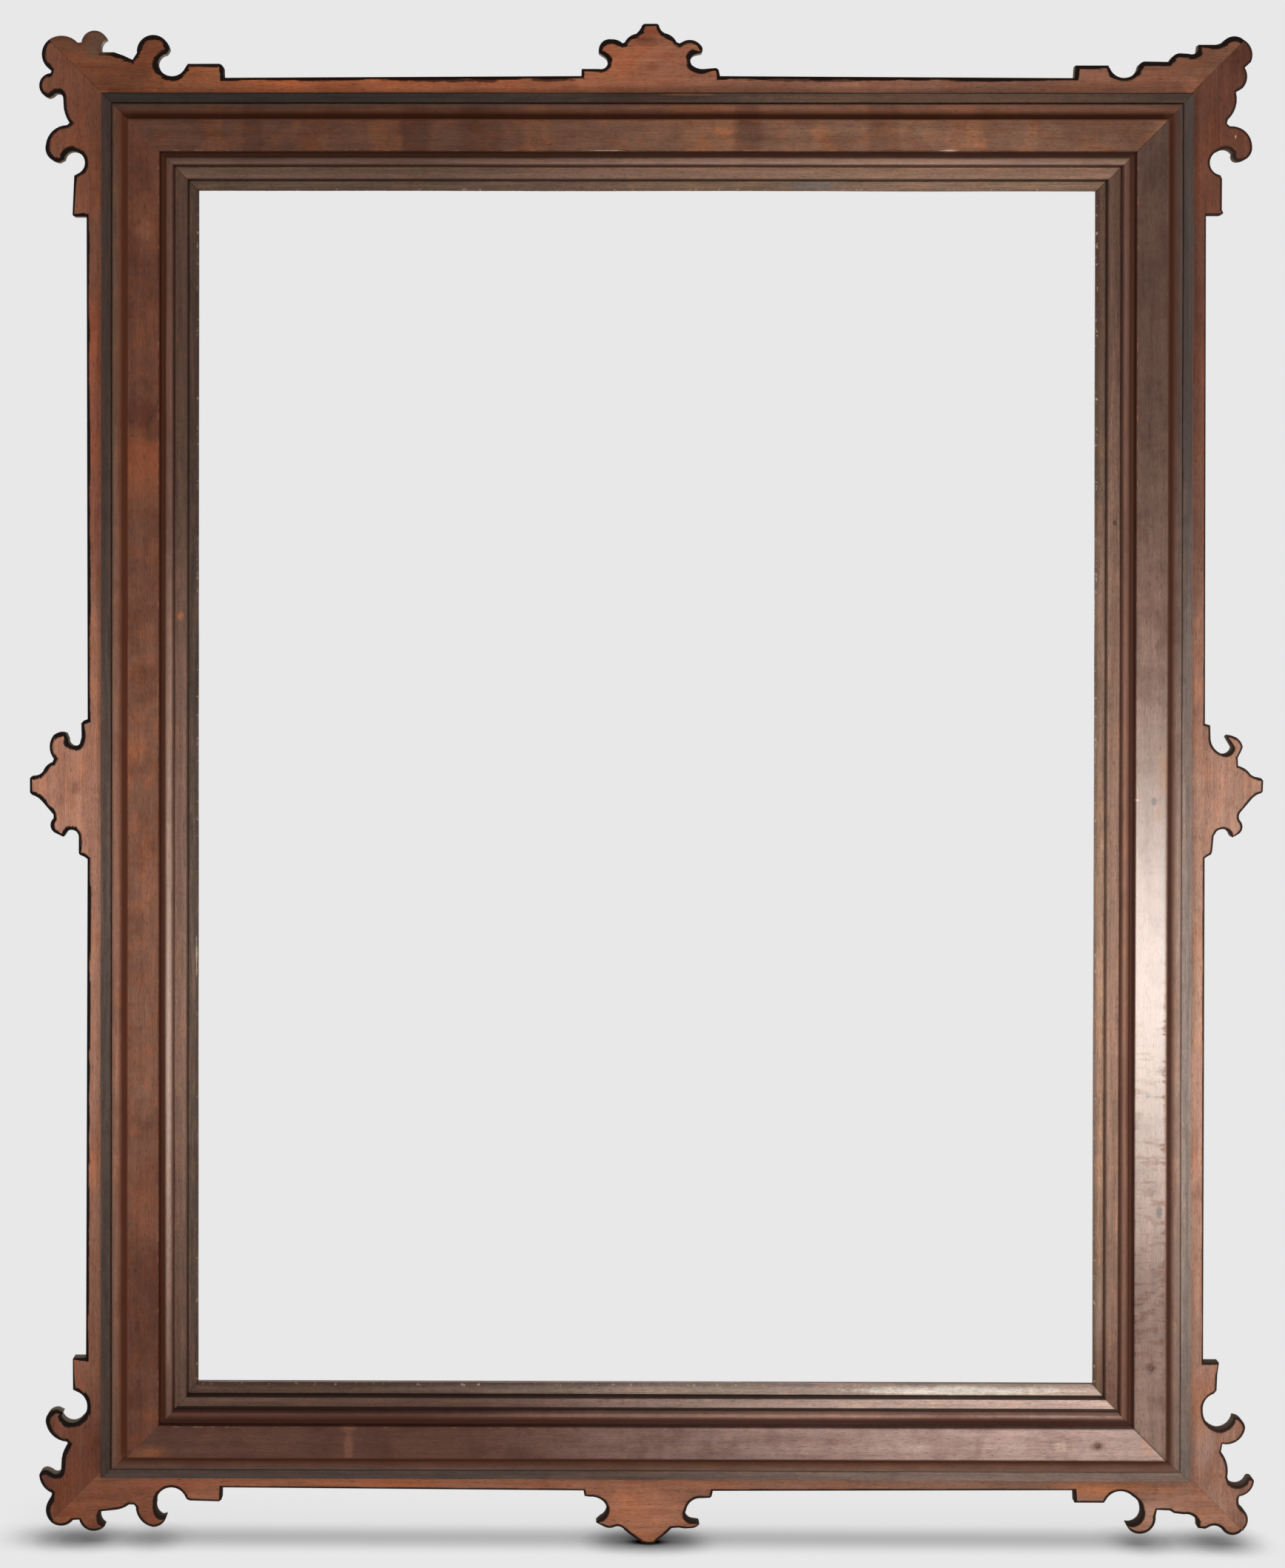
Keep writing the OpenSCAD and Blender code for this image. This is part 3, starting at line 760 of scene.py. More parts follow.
@dataclass(frozen=True)
class Polish:
    """Old polish that mirrors the window, scuffed through towards the low end of its place.

    It starts and is full at the two distances inward that edge gives. Its scuffs grow from
    scuffed_from to scuffed_to along the side, counted from the middle of its place, and reach into
    its edge by bite. All of these are in millimetres.
    """

    place: Patch
    edge: tuple[float, float] = (35.0, 37.6)
    wear: float = 0.75
    rough: float = 0.27
    ior: float = 1.8
    scuffs: Cloud = Cloud(BARE, 1.0, 3.6, 13, 0.43, 0.1)
    scuffed_from: float = 100.0
    scuffed_to: float = -60.0
    built_up: float = 0.35
    bite: float = 3.5

    def lay(self, surface: Surface) -> None:
        """Sets the coat of the surface's shader.

        Args:
            surface: The polished surface.
        """
        tree = surface.tree
        along, inward = surface.flat["Along"], surface.flat["Inward"]
        rubbed = tree.fade(along, (self.place.along + self.scuffed_from) * MM,
                           (self.place.along + self.scuffed_to) * MM)
        scuffed = tree.times(rubbed, surface.mask(self.scuffs, Outline.SCUFFS))
        whole = surface.mask(self.place, Outline.POLISH)
        thick = tree.times(whole, tree.scaled(rubbed, self.built_up * self.wear, 1.0))
        left = tree.scaled(scuffed, -self.wear, thick, clamp=True)
        start, full = self.edge
        within = tree.fade(tree.scaled(scuffed, -self.bite * MM, inward), start * MM, full * MM)
        tree.feed(surface.shader.inputs["Coat Weight"], tree.times(left, within))
        tree.feed(surface.shader.inputs["Coat Roughness"], self.rough)
        tree.feed(surface.shader.inputs["Coat IOR"], self.ior)


@dataclass(frozen=True)
class Timber:
    """A finished wood surface: its colours, grain, stains, marks and gloss.

    The stripes of its figure have a width, and its relief a depth, in millimetres.
    """

    name: str
    tone: Paint
    # A broad pale patch, partly a paler tone and partly painted sheen and light
    bloom: Patch | None = None
    pore: Paint = Paint(30, 18, 14)
    stripe: float = 9.0
    figure: float = 0.2
    fibre: float = 0.18
    pores: float = 0.35
    clouds: tuple[Cloud, ...] = ()
    seams: tuple[Seam, ...] = ()
    patches: tuple[Patch, ...] = ()
    mitre: MitreLine | None = None
    scratches: Scratches | None = None
    sawn: SawnEdge | None = None
    back: BareBack | None = None
    polish: Polish | None = None
    roughness: float = 0.45
    unevenness: float = 0.16
    gloss: float = 0.3
    relief: float = 0.05
    dirt_roughness: float = 0.8

    WORN = Cloud(BARE, 1.0, 34, 13, 0.5, 0.22)
    FIBRE_ROUGHER = 0.06
    FIBRE_HEIGHT = 0.35
    PORE_HEIGHT = -0.5
    WORN_HEIGHT = 0.8

    def material(self, side: Side, effects: Effects) -> bpy.types.Material:
        """Builds the material of one side.

        Args:
            side: The side that the wood lies on.
            effects: The shared node groups.

        Returns:
            The new material.
        """
        surface = Surface(self.name, side, effects)
        surface.grow(self.stripe)
        self._colour(surface)
        self._dirt(surface)
        if self.sawn:
            self.sawn.lay(surface)
        if self.back:
            self.back.lay(surface, self.pore)
        surface.tree.feed(surface.shader.inputs["Base Color"], surface.colour)
        surface.tree.feed(surface.shader.inputs["Specular IOR Level"], self.gloss)
        self._gloss(surface)
        if self.polish:
            self.polish.lay(surface)
        return surface.material

    def _colour(self, surface: Surface) -> None:
        """Builds up the colour: tone, figure, stains, marks, fibre and pores.

        Args:
            surface: The surface to colour.
        """
        tree, grain = surface.tree, surface.grain
        surface.colour = self.tone
        # The broad pale patch comes first: partly a paler tone, partly painted sheen and light
        if self.bloom:
            surface.lay(self.bloom, Outline.BLOOM)
        surface.colour = tree.shade(surface.colour, grain["Figure"], 1.0 + self.figure, 1.0 - self.figure)
        for number, cloud in enumerate(self.clouds):
            surface.lay(cloud, Outline.CLOUDS + number, surface.side.value[2])
        for number, patch in enumerate(self.patches):
            surface.lay(patch, Outline.PATCHES + number)
        surface.colour = tree.shade(surface.colour, grain["Fibre"], 1.0 - self.fibre, 1.0 + self.fibre)
        surface.colour = tree.mix(tree.times(grain["Pores"], self.pores), surface.colour, self.pore)

    def _dirt(self, surface: Surface) -> None:
        """Lays the seams, which are dirt and, in some creases and joints, painted shade, and the mitre lines,
        and counts them all as dirt for the gloss.

        Args:
            surface: The surface to soil.
        """
        for number, seam in enumerate(self.seams):
            surface.soil(surface.lay(seam, Outline.SEAMS + number))
        if self.mitre:
            feeds = {**surface.flat, **self.mitre.feeds, "Half Length": PROFILE.half_length(surface.side)}
            mask = surface.tree.group(surface.effects.marks[MitreLine], feeds)[0]
            surface.colour = surface.tree.mix(mask, surface.colour, self.mitre.paint)
            surface.soil(mask)

    def _gloss(self, surface: Surface) -> None:
        """Sets roughness and relief from the grain, the uneven polish and the dirt.

        Args:
            surface: The surface, with its dirt known.
        """
        tree, grain = surface.tree, surface.grain
        worn = surface.mask(self.WORN, Outline.WEAR)
        rough = tree.scaled(worn, self.unevenness, self.roughness - self.unevenness / 2)
        rough = tree.scaled(grain["Fibre"], self.FIBRE_ROUGHER, rough)
        if self.scratches:
            rough = tree.plus(surface.mask(self.scratches, Outline.SCRATCHES), rough)
        rough = tree.scaled(surface.dirt, self.dirt_roughness - self.roughness, rough, clamp=True)
        tree.feed(surface.shader.inputs["Roughness"], rough)
        height = tree.times(grain["Pores"], self.PORE_HEIGHT)
        height = tree.scaled(grain["Fibre"], self.FIBRE_HEIGHT, height)
        height = tree.scaled(worn, self.WORN_HEIGHT, height)
        bump = tree.add("ShaderNodeBump", {"Height": height, "Strength": 1.0, "Distance": self.relief * MM})
        tree.feed(surface.shader.inputs["Normal"], bump.outputs[0])


@dataclass(frozen=True)
class Metal:
    """Old metal with its bloom."""

    name: str
    bright: Paint
    dull: Paint
    cover: float
    roughness: float

    BLOOM_METALLIC = 0.55
    BLOOM_ROUGHER = 0.3
    RELIEF = 0.05 * MM

    def material(self, effects: Effects) -> bpy.types.Material:
        """Builds the material.

        Args:
            effects: The shared node groups.

        Returns:
            The new material.
        """
        material = bpy.data.materials.new(self.name)
        material.use_nodes = True
        tree = Tree(material.node_tree)
        shader = material.node_tree.nodes["Principled BSDF"]
        feeds = {"Position": tree.add("ShaderNodeTexCoord").outputs["Object"], "Bright": self.bright,
                 "Dull": self.dull, "Cover": self.cover}
        bloom = tree.group(effects.tarnish, feeds)
        tree.feed(shader.inputs["Base Color"], bloom["Colour"])
        dullness = bloom["Dullness"]
        tree.feed(shader.inputs["Metallic"], tree.ramp(dullness, 0.0, 1.0, 1.0, self.BLOOM_METALLIC))
        rough = tree.scaled(dullness, self.BLOOM_ROUGHER, self.roughness)
        tree.feed(shader.inputs["Roughness"], rough)
        relief = {"Height": bloom["Relief"], "Strength": 1.0, "Distance": self.RELIEF}
        tree.feed(shader.inputs["Normal"], tree.add("ShaderNodeBump", relief).outputs[0])
        return material


def merged(node: bpy.types.Object) -> bmesh.types.BMesh:
    """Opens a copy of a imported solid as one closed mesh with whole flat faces.

    Args:
        node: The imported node, whose own mesh is loose triangles.

    Returns:
        A new bmesh, which the caller closes.
    """
    mesh = bmesh.new()
    mesh.from_mesh(node.data)
    bmesh.ops.remove_doubles(mesh, verts=mesh.verts, dist=NEAR / 2)
    bmesh.ops.dissolve_limit(mesh, angle_limit=math.radians(FLAT_DEGREES), verts=mesh.verts, edges=mesh.edges)
    mesh.normal_update()
    return mesh


def finished(mesh: bmesh.types.BMesh, name: str, material: bpy.types.Material, body: str,
             nodes: Iterable[str], sharp: float = 35.0) -> bpy.types.Object:
    """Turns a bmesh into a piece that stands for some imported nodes.

    Args:
        mesh: The finished bmesh, which is freed here.
        name: The piece's name.
        material: Its material.
        body: The body that it rides on.
        nodes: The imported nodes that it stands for.
        sharp: Edges that turn by more than this angle, in degrees, stay crisp.

    Returns:
        The new object.
    """
    data = bpy.data.meshes.new(name)
    mesh.to_mesh(data)
    mesh.free()
    packed_normals = data.attributes.get("custom_normal")
    if packed_normals:
        data.attributes.remove(packed_normals)
    data.polygons.foreach_set("use_smooth", [True] * len(data.polygons))
    data.set_sharp_from_angle(angle=math.radians(sharp))
    data.materials.append(material)
    piece = bpy.data.objects.new(name, data)
    bpy.context.scene.collection.objects.link(piece)
    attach(piece, body)
    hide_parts(*nodes)
    LOG.info("%s: %d faces, rides on %s", name, len(data.polygons), body)
    return piece


@dataclass
class FretBoard:
    """One fret-sawn board, with its outline eased as handling has left it, and darkened by dirt and painted
    shade.

    Eased is how far the rounding reaches inward, depth how far it drops at the outline, and stain
    how far the dark of dirt and painted shade reaches beyond it, all in metres.
    """

    side: Side
    eased: float
    depth: float
    stain: float

    EDGE_LAYER = "sawn_edge"
    START = 0.01 * MM
    RINGS = 3
    REACH_SHARE = 0.8
    MID_IN = 0.32
    MID_DOWN = 0.34
    DIRT_AND_SHADE_BY_RING = (1.0, 1.0, 0.9, 0.0)
    WALL = 2.0
    WALL_FACES = 0.5
    FLAT_FACES = 0.99
    SHOWN_FACES = 0.3
    SHARP = 40.0

    def build(self, nodes: dict[str, bpy.types.Object], material: bpy.types.Material) -> bpy.types.Object:
        """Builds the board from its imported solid.

        Args:
            nodes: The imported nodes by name.
            material: The board's material.

        Returns:
            The finished piece.
        """
        name = self.side.node("fret_board")
        mesh = merged(nodes[name])
        face_y = min(vert.co.y for vert in mesh.verts)
        layer = mesh.loops.layers.float.new(self.EDGE_LAYER)
        self._mark_walls(mesh, layer)
        rings = self._rings(mesh, face_y)
        outline = self._ordered(set(rings[0].values()))
        self._shape(outline, rings, face_y)
        for number, stain in enumerate(self.DIRT_AND_SHADE_BY_RING):
            for vert in rings[number].values():
                for loop in vert.link_loops:
                    if loop.face.normal.y < -self.SHOWN_FACES:
                        loop[layer] = stain if self._outside(vert.co) else 0.0
        bmesh.ops.remove_doubles(mesh, verts=mesh.verts, dist=NEAR / 4)
        bmesh.ops.dissolve_degenerate(mesh, edges=mesh.edges, dist=NEAR)
        mesh.normal_update()
        return finished(mesh, f"finished_{name}", material, FRAME_BODY, [name], self.SHARP)

    def _outside(self, point: Vector) -> bool:
        """Whether a point is on the part of the board that shows outside the moulding."""
        return PROFILE.edge(self.side) - point.dot(self.side.outward) < PROFILE.ebony * MM

    def _mark_walls(self, mesh: bmesh.types.BMesh, layer: bmesh.types.BMLayerItem) -> None:
        """Marks the sawn walls outside the moulding, which take the wall paint all over.

        Args:
            mesh: The board's bmesh.
            layer: The layer of its face corners that marks the edge and the walls.
        """
        for face in mesh.faces:
            if abs(face.normal.y) < self.WALL_FACES and self._outside(face.calc_center_median()):
                for loop in face.loops:
                    loop[layer] = self.WALL

    def _rings(self, mesh: bmesh.types.BMesh, face_y: float) -> list[dict]:
        """Insets the front face three times by a hair.

        Args:
            mesh: The board's bmesh.
            face_y: Y of the board's face.

        Returns:
            Four dictionaries from a vertex of the outline outside the moulding: to itself, and to its
            partner in each of the three rings, from the outline inwards.
        """
        front = [face for face in mesh.faces if face.normal.y < -self.FLAT_FACES and
                 abs(face.calc_center_median().y - face_y) < NEAR]
        kept = set(front)
        rings: list[dict] = []
        for _ in range(self.RINGS):
            made = bmesh.ops.inset_region(mesh, faces=front, thickness=self.START, use_boundary=True,
                                          use_even_offset=True)
            ring = {vert for face in made["faces"] for vert in face.verts}
            inner = {vert for vert in ring if any(face in kept for face in vert.link_faces)}
            pairs = {}
            for vert in ring - inner:
                across = (line.other_vert(vert) for line in vert.link_edges)
                pairs[vert] = next(other for other in across if other in inner)
            if not rings:
                rings.append({vert: vert for vert in pairs})
            outer = {inside: vert for vert, inside in pairs.items()}
            rings[-1] = {first: outer.get(last, last) for first, last in rings[-1].items()}
            rings.append({first: pairs[last] for first, last in rings[-1].items()})
        for first in rings[0]:
            if not self._outside(first.co):
                for ring in rings[1:]:
                    ring[first].co = first.co
        mesh.normal_update()
        return [{first: last for first, last in ring.items() if self._outside(first.co)} for ring in rings]

    def _ordered(self, rim: set) -> list:
        """Puts the outline's vertices in order.

        Args:
            rim: The vertices of the outline.

        Returns:
            The same vertices from one mitre to the other.
        """
        start = min(rim, key=lambda vert: vert.co.dot(self.side.lengthwise - self.side.outward))
        outline, seen = [start], {start}
        while True:
            ahead = (line.other_vert(outline[-1]) for line in outline[-1].link_edges)
            step = next((vert for vert in ahead if vert in rim and vert not in seen), None)
            if step is None:
                break
            outline.append(step)
            seen.add(step)
        LOG.info("%s outline: %d of %d points", self.side.word, len(outline), len(rim))
        return outline

    def _shape(self, outline: list, rings: list[dict], face_y: float) -> None:
        """Eases the outline into a rounded edge that never folds over itself.

        Args:
            outline: The outline's vertices in order.
            rings: The outline and its partners, from the outline inwards.
            face_y: Y of the board's face.
        """
        points = np.array([[vert.co.x, vert.co.z] for vert in outline])
        inward = np.array([[rings[1][vert].co.x, rings[1][vert].co.z] for vert in outline]) - points
        for end in (0, -1):
            run = math.copysign(1.0, outline[end].co.dot(self.side.lengthwise))
            along = -(self.side.outward + run * self.side.lengthwise)
            inward[end] = (along.x, along.z)
        inward /= np.linalg.norm(inward, axis=1)[:, None]
        reach = self.REACH_SHARE * _clearance(points, inward)
        eased = _settled(points, inward, np.minimum(self.eased, reach))
        face = _settled(points, inward, np.minimum(eased + self.stain, np.maximum(reach, eased)))
        LOG.info("%s edge eased by %.2f mm on average, at least %.2f mm", self.side.word, eased.mean() / MM,
                 eased.min() / MM)
        for number, vert in enumerate(outline):
            down = self.depth * eased[number] / self.eased
            widths = (0.0, self.MID_IN * eased[number], eased[number], face[number])
            for ring, width, drop in zip(rings, widths, (down, self.MID_DOWN * down, 0.0, 0.0)):
                spot = points[number] + inward[number] * width
                ring[vert].co = (spot[0], face_y + drop, spot[1])


def _clearance(points: np.ndarray, inward: np.ndarray) -> np.ndarray:
    """Radius of the largest ball that touches the outline at each point from inside.

    Args:
        points: The outline's points.
        inward: The unit direction inward at each point.

    Returns:
        One radius for each point.
    """
    unbounded = 1.0
    step = points[None, :, :] - points[:, None, :]
    ahead = np.einsum("ijk,ik->ij", step, inward)
    square = np.einsum("ijk,ijk->ij", step, step)
    number = np.arange(len(points))
    near = np.abs(number[:, None] - number[None, :]) <= 1
    radius = np.where((ahead > NEAR) & ~near, square / np.maximum(2 * ahead, NEAR / 100), unbounded)
    return radius.min(axis=1)


def _settled(points: np.ndarray, inward: np.ndarray, width: np.ndarray) -> np.ndarray:
    """Evens out the widths, then narrows them wherever the inner line would run backwards.

    Args:
        points: The outline's points.
        inward: The unit direction inward at each point.
        width: How far inward each point would go, which is changed here.

    Returns:
        The settled widths.
    """
    passes, most_rounds, least_run, narrowing = 2, 60, 0.12, 0.85
    for _ in range(passes):
        mean = 0.25 * width[:-2] + 0.5 * width[1:-1] + 0.25 * width[2:]
        width[1:-1] = np.minimum(width[1:-1], mean)
    for _ in range(most_rounds):
        line = points + inward * width[:, None]
        run, was = np.diff(line, axis=0), np.diff(points, axis=0)
        folded = (run * was).sum(axis=1) < least_run * (was * was).sum(axis=1)
        if not folded.any():
            break
        width[:-1][folded] *= narrowing
        width[1:][folded] *= narrowing
    return width


@dataclass
class Strip:
    """One mitred strip of the moulding, planed by hand, so that it wavers a little."""

    member: str
    side: Side
    slot: str

    STEP = 15 * MM
    WAVER = 0.22 * MM
    RIPPLE = 0.05 * MM
    FADE = 30 * MM
    SLOW = 120 * MM
    QUICK = 34 * MM
    ACROSS = 9 * MM
    LANE = 7.3

    def build(self, nodes: dict[str, bpy.types.Object], material: bpy.types.Material) -> bpy.types.Object:
        """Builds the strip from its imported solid.

        Args:
            nodes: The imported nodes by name.
            material: The strip's material.

        Returns:
            The finished piece.
        """
        name = self.side.node(self.member)
        mesh = merged(nodes[name])
        lengthwise = self.side.lengthwise
        half = PROFILE.half_length(self.side)
        cuts = int(2 * half / self.STEP)
        for number in range(1, cuts):
            place = -half + 2 * half * number / cuts
            parts = mesh.verts[:] + mesh.edges[:] + mesh.faces[:]
            bmesh.ops.bisect_plane(mesh, geom=parts, dist=NEAR / 4, plane_co=lengthwise * place,
                                   plane_no=lengthwise)
        self._waver(mesh, half)
        mesh.normal_update()
        return finished(mesh, f"finished_{name}", material, FRAME_BODY, [name])

    def _waver(self, mesh: bmesh.types.BMesh, half: float) -> None:
        """Shifts the points by less than the eye sees, evenly over the members of one side.

        Args:
            mesh: The strip's bmesh.
            half: Half the length of the side.
        """
        lane = float(list(Side).index(self.side)) * self.LANE
        back = max(vert.co.y for vert in mesh.verts) - NEAR
        for vert in mesh.verts:
            along = vert.co.dot(self.side.lengthwise)
            inward = PROFILE.edge(self.side) - vert.co.dot(self.side.outward)
            left = max(0.0, min(1.0, (half - inward - abs(along)) / self.FADE))
            if vert.co.y > back:
                continue
            slow = noise.noise(Vector((along / self.SLOW, lane, 0.0)))
            quick = noise.noise(Vector((along / self.QUICK, lane, inward / self.ACROSS)))
            vert.co += self.side.outward * (self.WAVER * slow * left)
            vert.co.y += self.RIPPLE * (1 + quick) * left


@dataclass
class Moulding:
    """The built-up moulding: four sides of five members each."""

    members: dict[str, str] = field(default_factory=lambda: {
        "ebonised_strip": "ebonised_wood", "ogee": "moulding_walnut", "panel": "panel_walnut",
        "roll": "moulding_walnut", "sight_liner": "moulding_walnut"})

    def build(self, nodes: dict[str, bpy.types.Object], effects: Effects) -> None:
        """Builds and dresses every strip.

        Args:
            nodes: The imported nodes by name.
            effects: The shared node groups.
        """
        for side in Side:
            for member, slot in self.members.items():
                finish = MEMBER_FINISH[member](side)
                Strip(member, side, slot).build(nodes, finish.material(side, effects))


@dataclass
class Boards:
    """The four fret-sawn boards, with the eased width, its depth and the darkened width in millimetres."""

    eased: dict[Side, tuple[float, float, float]] = field(default_factory=lambda: {
        Side.TOP: (2.3, 1.2, 2.2), Side.RIGHT: (1.2, 0.9, 1.6), Side.BOTTOM: (1.6, 1.0, 1.4),
        Side.LEFT: (2.0, 1.3, 2.2)})

    def build(self, nodes: dict[str, bpy.types.Object], effects: Effects) -> None:
        """Builds and dresses every board.

        Args:
            nodes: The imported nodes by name.
            effects: The shared node groups.
        """
        for side, widths in self.eased.items():
            board = FretBoard(side, *(width * MM for width in widths))
            board.build(nodes, fret_finish(side).material(side, effects))


@dataclass
class Backs:
    """What shows from behind: the core rails, their screws and nails, and the hangers.

    Edges of a strap or a screw that turn by more than plate_sharp, in degrees, stay crisp, and those
    of a ring that turn by more than ring_sharp.
    """

    plate_sharp: float = 30.0
    ring_sharp: float = 50.0

    def build(self, nodes: dict[str, bpy.types.Object], effects: Effects) -> None:
        """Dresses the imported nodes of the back, and makes smooth copies of the brass hangers.

        Args:
            nodes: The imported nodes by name.
            effects: The shared node groups.
        """
        for side in Side:
            self._dress(nodes[side.node("core_rail")], CORE_WOOD.material(side, effects))
        steel = OLD_STEEL.material(effects)
        brass = OLD_BRASS.material(effects)
        for name in ("fret_screws", "corner_nails"):
            self._dress(nodes[name], steel)
        self._dress(nodes["panel_pins"], PIN_FILLER.material(Side.RIGHT, effects))
        hangers = {}
        for hand in ("left", "right"):
            hangers[f"hanger_plate_{hand}"] = (FRAME_BODY, self.plate_sharp)
            hangers[f"hanger_ring_{hand}"] = (f"ring_{hand}", self.ring_sharp)
        hangers["hanger_screws"] = (FRAME_BODY, self.plate_sharp)
        for name, (body, sharp) in hangers.items():
            finished(merged(nodes[name]), f"finished_{name}", brass, body, [name], sharp)

    @staticmethod
    def _dress(node: bpy.types.Object, material: bpy.types.Material) -> None:
        """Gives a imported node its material."""
        for slot in node.material_slots:
            slot.material = material
        LOG.info("%s: dressed in %s", node.name, material.name)


# Where each side is painted paler, partly a paler tone and partly painted sheen and light, and the figure of
# the top
BLOOM_AND_SHEEN_PLACE = {Side.TOP: (200, 400), Side.RIGHT: (-180, 490), Side.BOTTOM: (280, 420),
               Side.LEFT: (-110, 400)}
TOP_BANDS = ((-267, 9, True), (-157, 12, True), (-113, 20, True), (68, 12, True), (159, 14, True),
             (-294, 9, False), (-223, 10, False), (-177, 14, False), (-75, 10, False), (41, 26, False),
             (212, 15, False))
ALL_ACROSS = 900


def by_side(top: Any, right: Any, bottom: Any, left: Any) -> dict[Side, Any]:
    """One value for each side, in the order of the sides."""
    return dict(zip(Side, (top, right, bottom, left)))


def bloom(side: Side, paint: Paint, shift: float = 0.0) -> Patch:
    """The broad place where a side is painted paler, partly a dusty tone and partly painted sheen and light,
    shifted along it on some members.
    """
    along, half = BLOOM_AND_SHEEN_PLACE[side]
    return Patch(paint, 1.0, along + shift, 40, half, ALL_ACROSS, soft=1.0, ragged=0.25)


def band(stain: Stain, strength: float, along: float, half: float) -> Patch:
    """A cross band of a member's figure."""
    return Patch(stain, strength, along, 45, half, 90, soft=0.5, ragged=0.5)


def top_bands(strength: float) -> tuple[Patch, ...]:
    """The cross bands of figure that run over the members of the top, dark and light."""
    return tuple(band(DEEP if dark else AMBER, strength, along, half) for along, half, dark in TOP_BANDS)


def edge_dirt_and_shade(strength: float, along: float, inward: float, half: float, half_breadth: float) -> Patch:
    """Dirt and painted shade that cling to the straight edge of a board, with a frayed outline."""
    return Patch(EDGE_DIRT_AND_SHADE, strength, along, inward, half, half_breadth, soft=0.5, ragged=1.6)


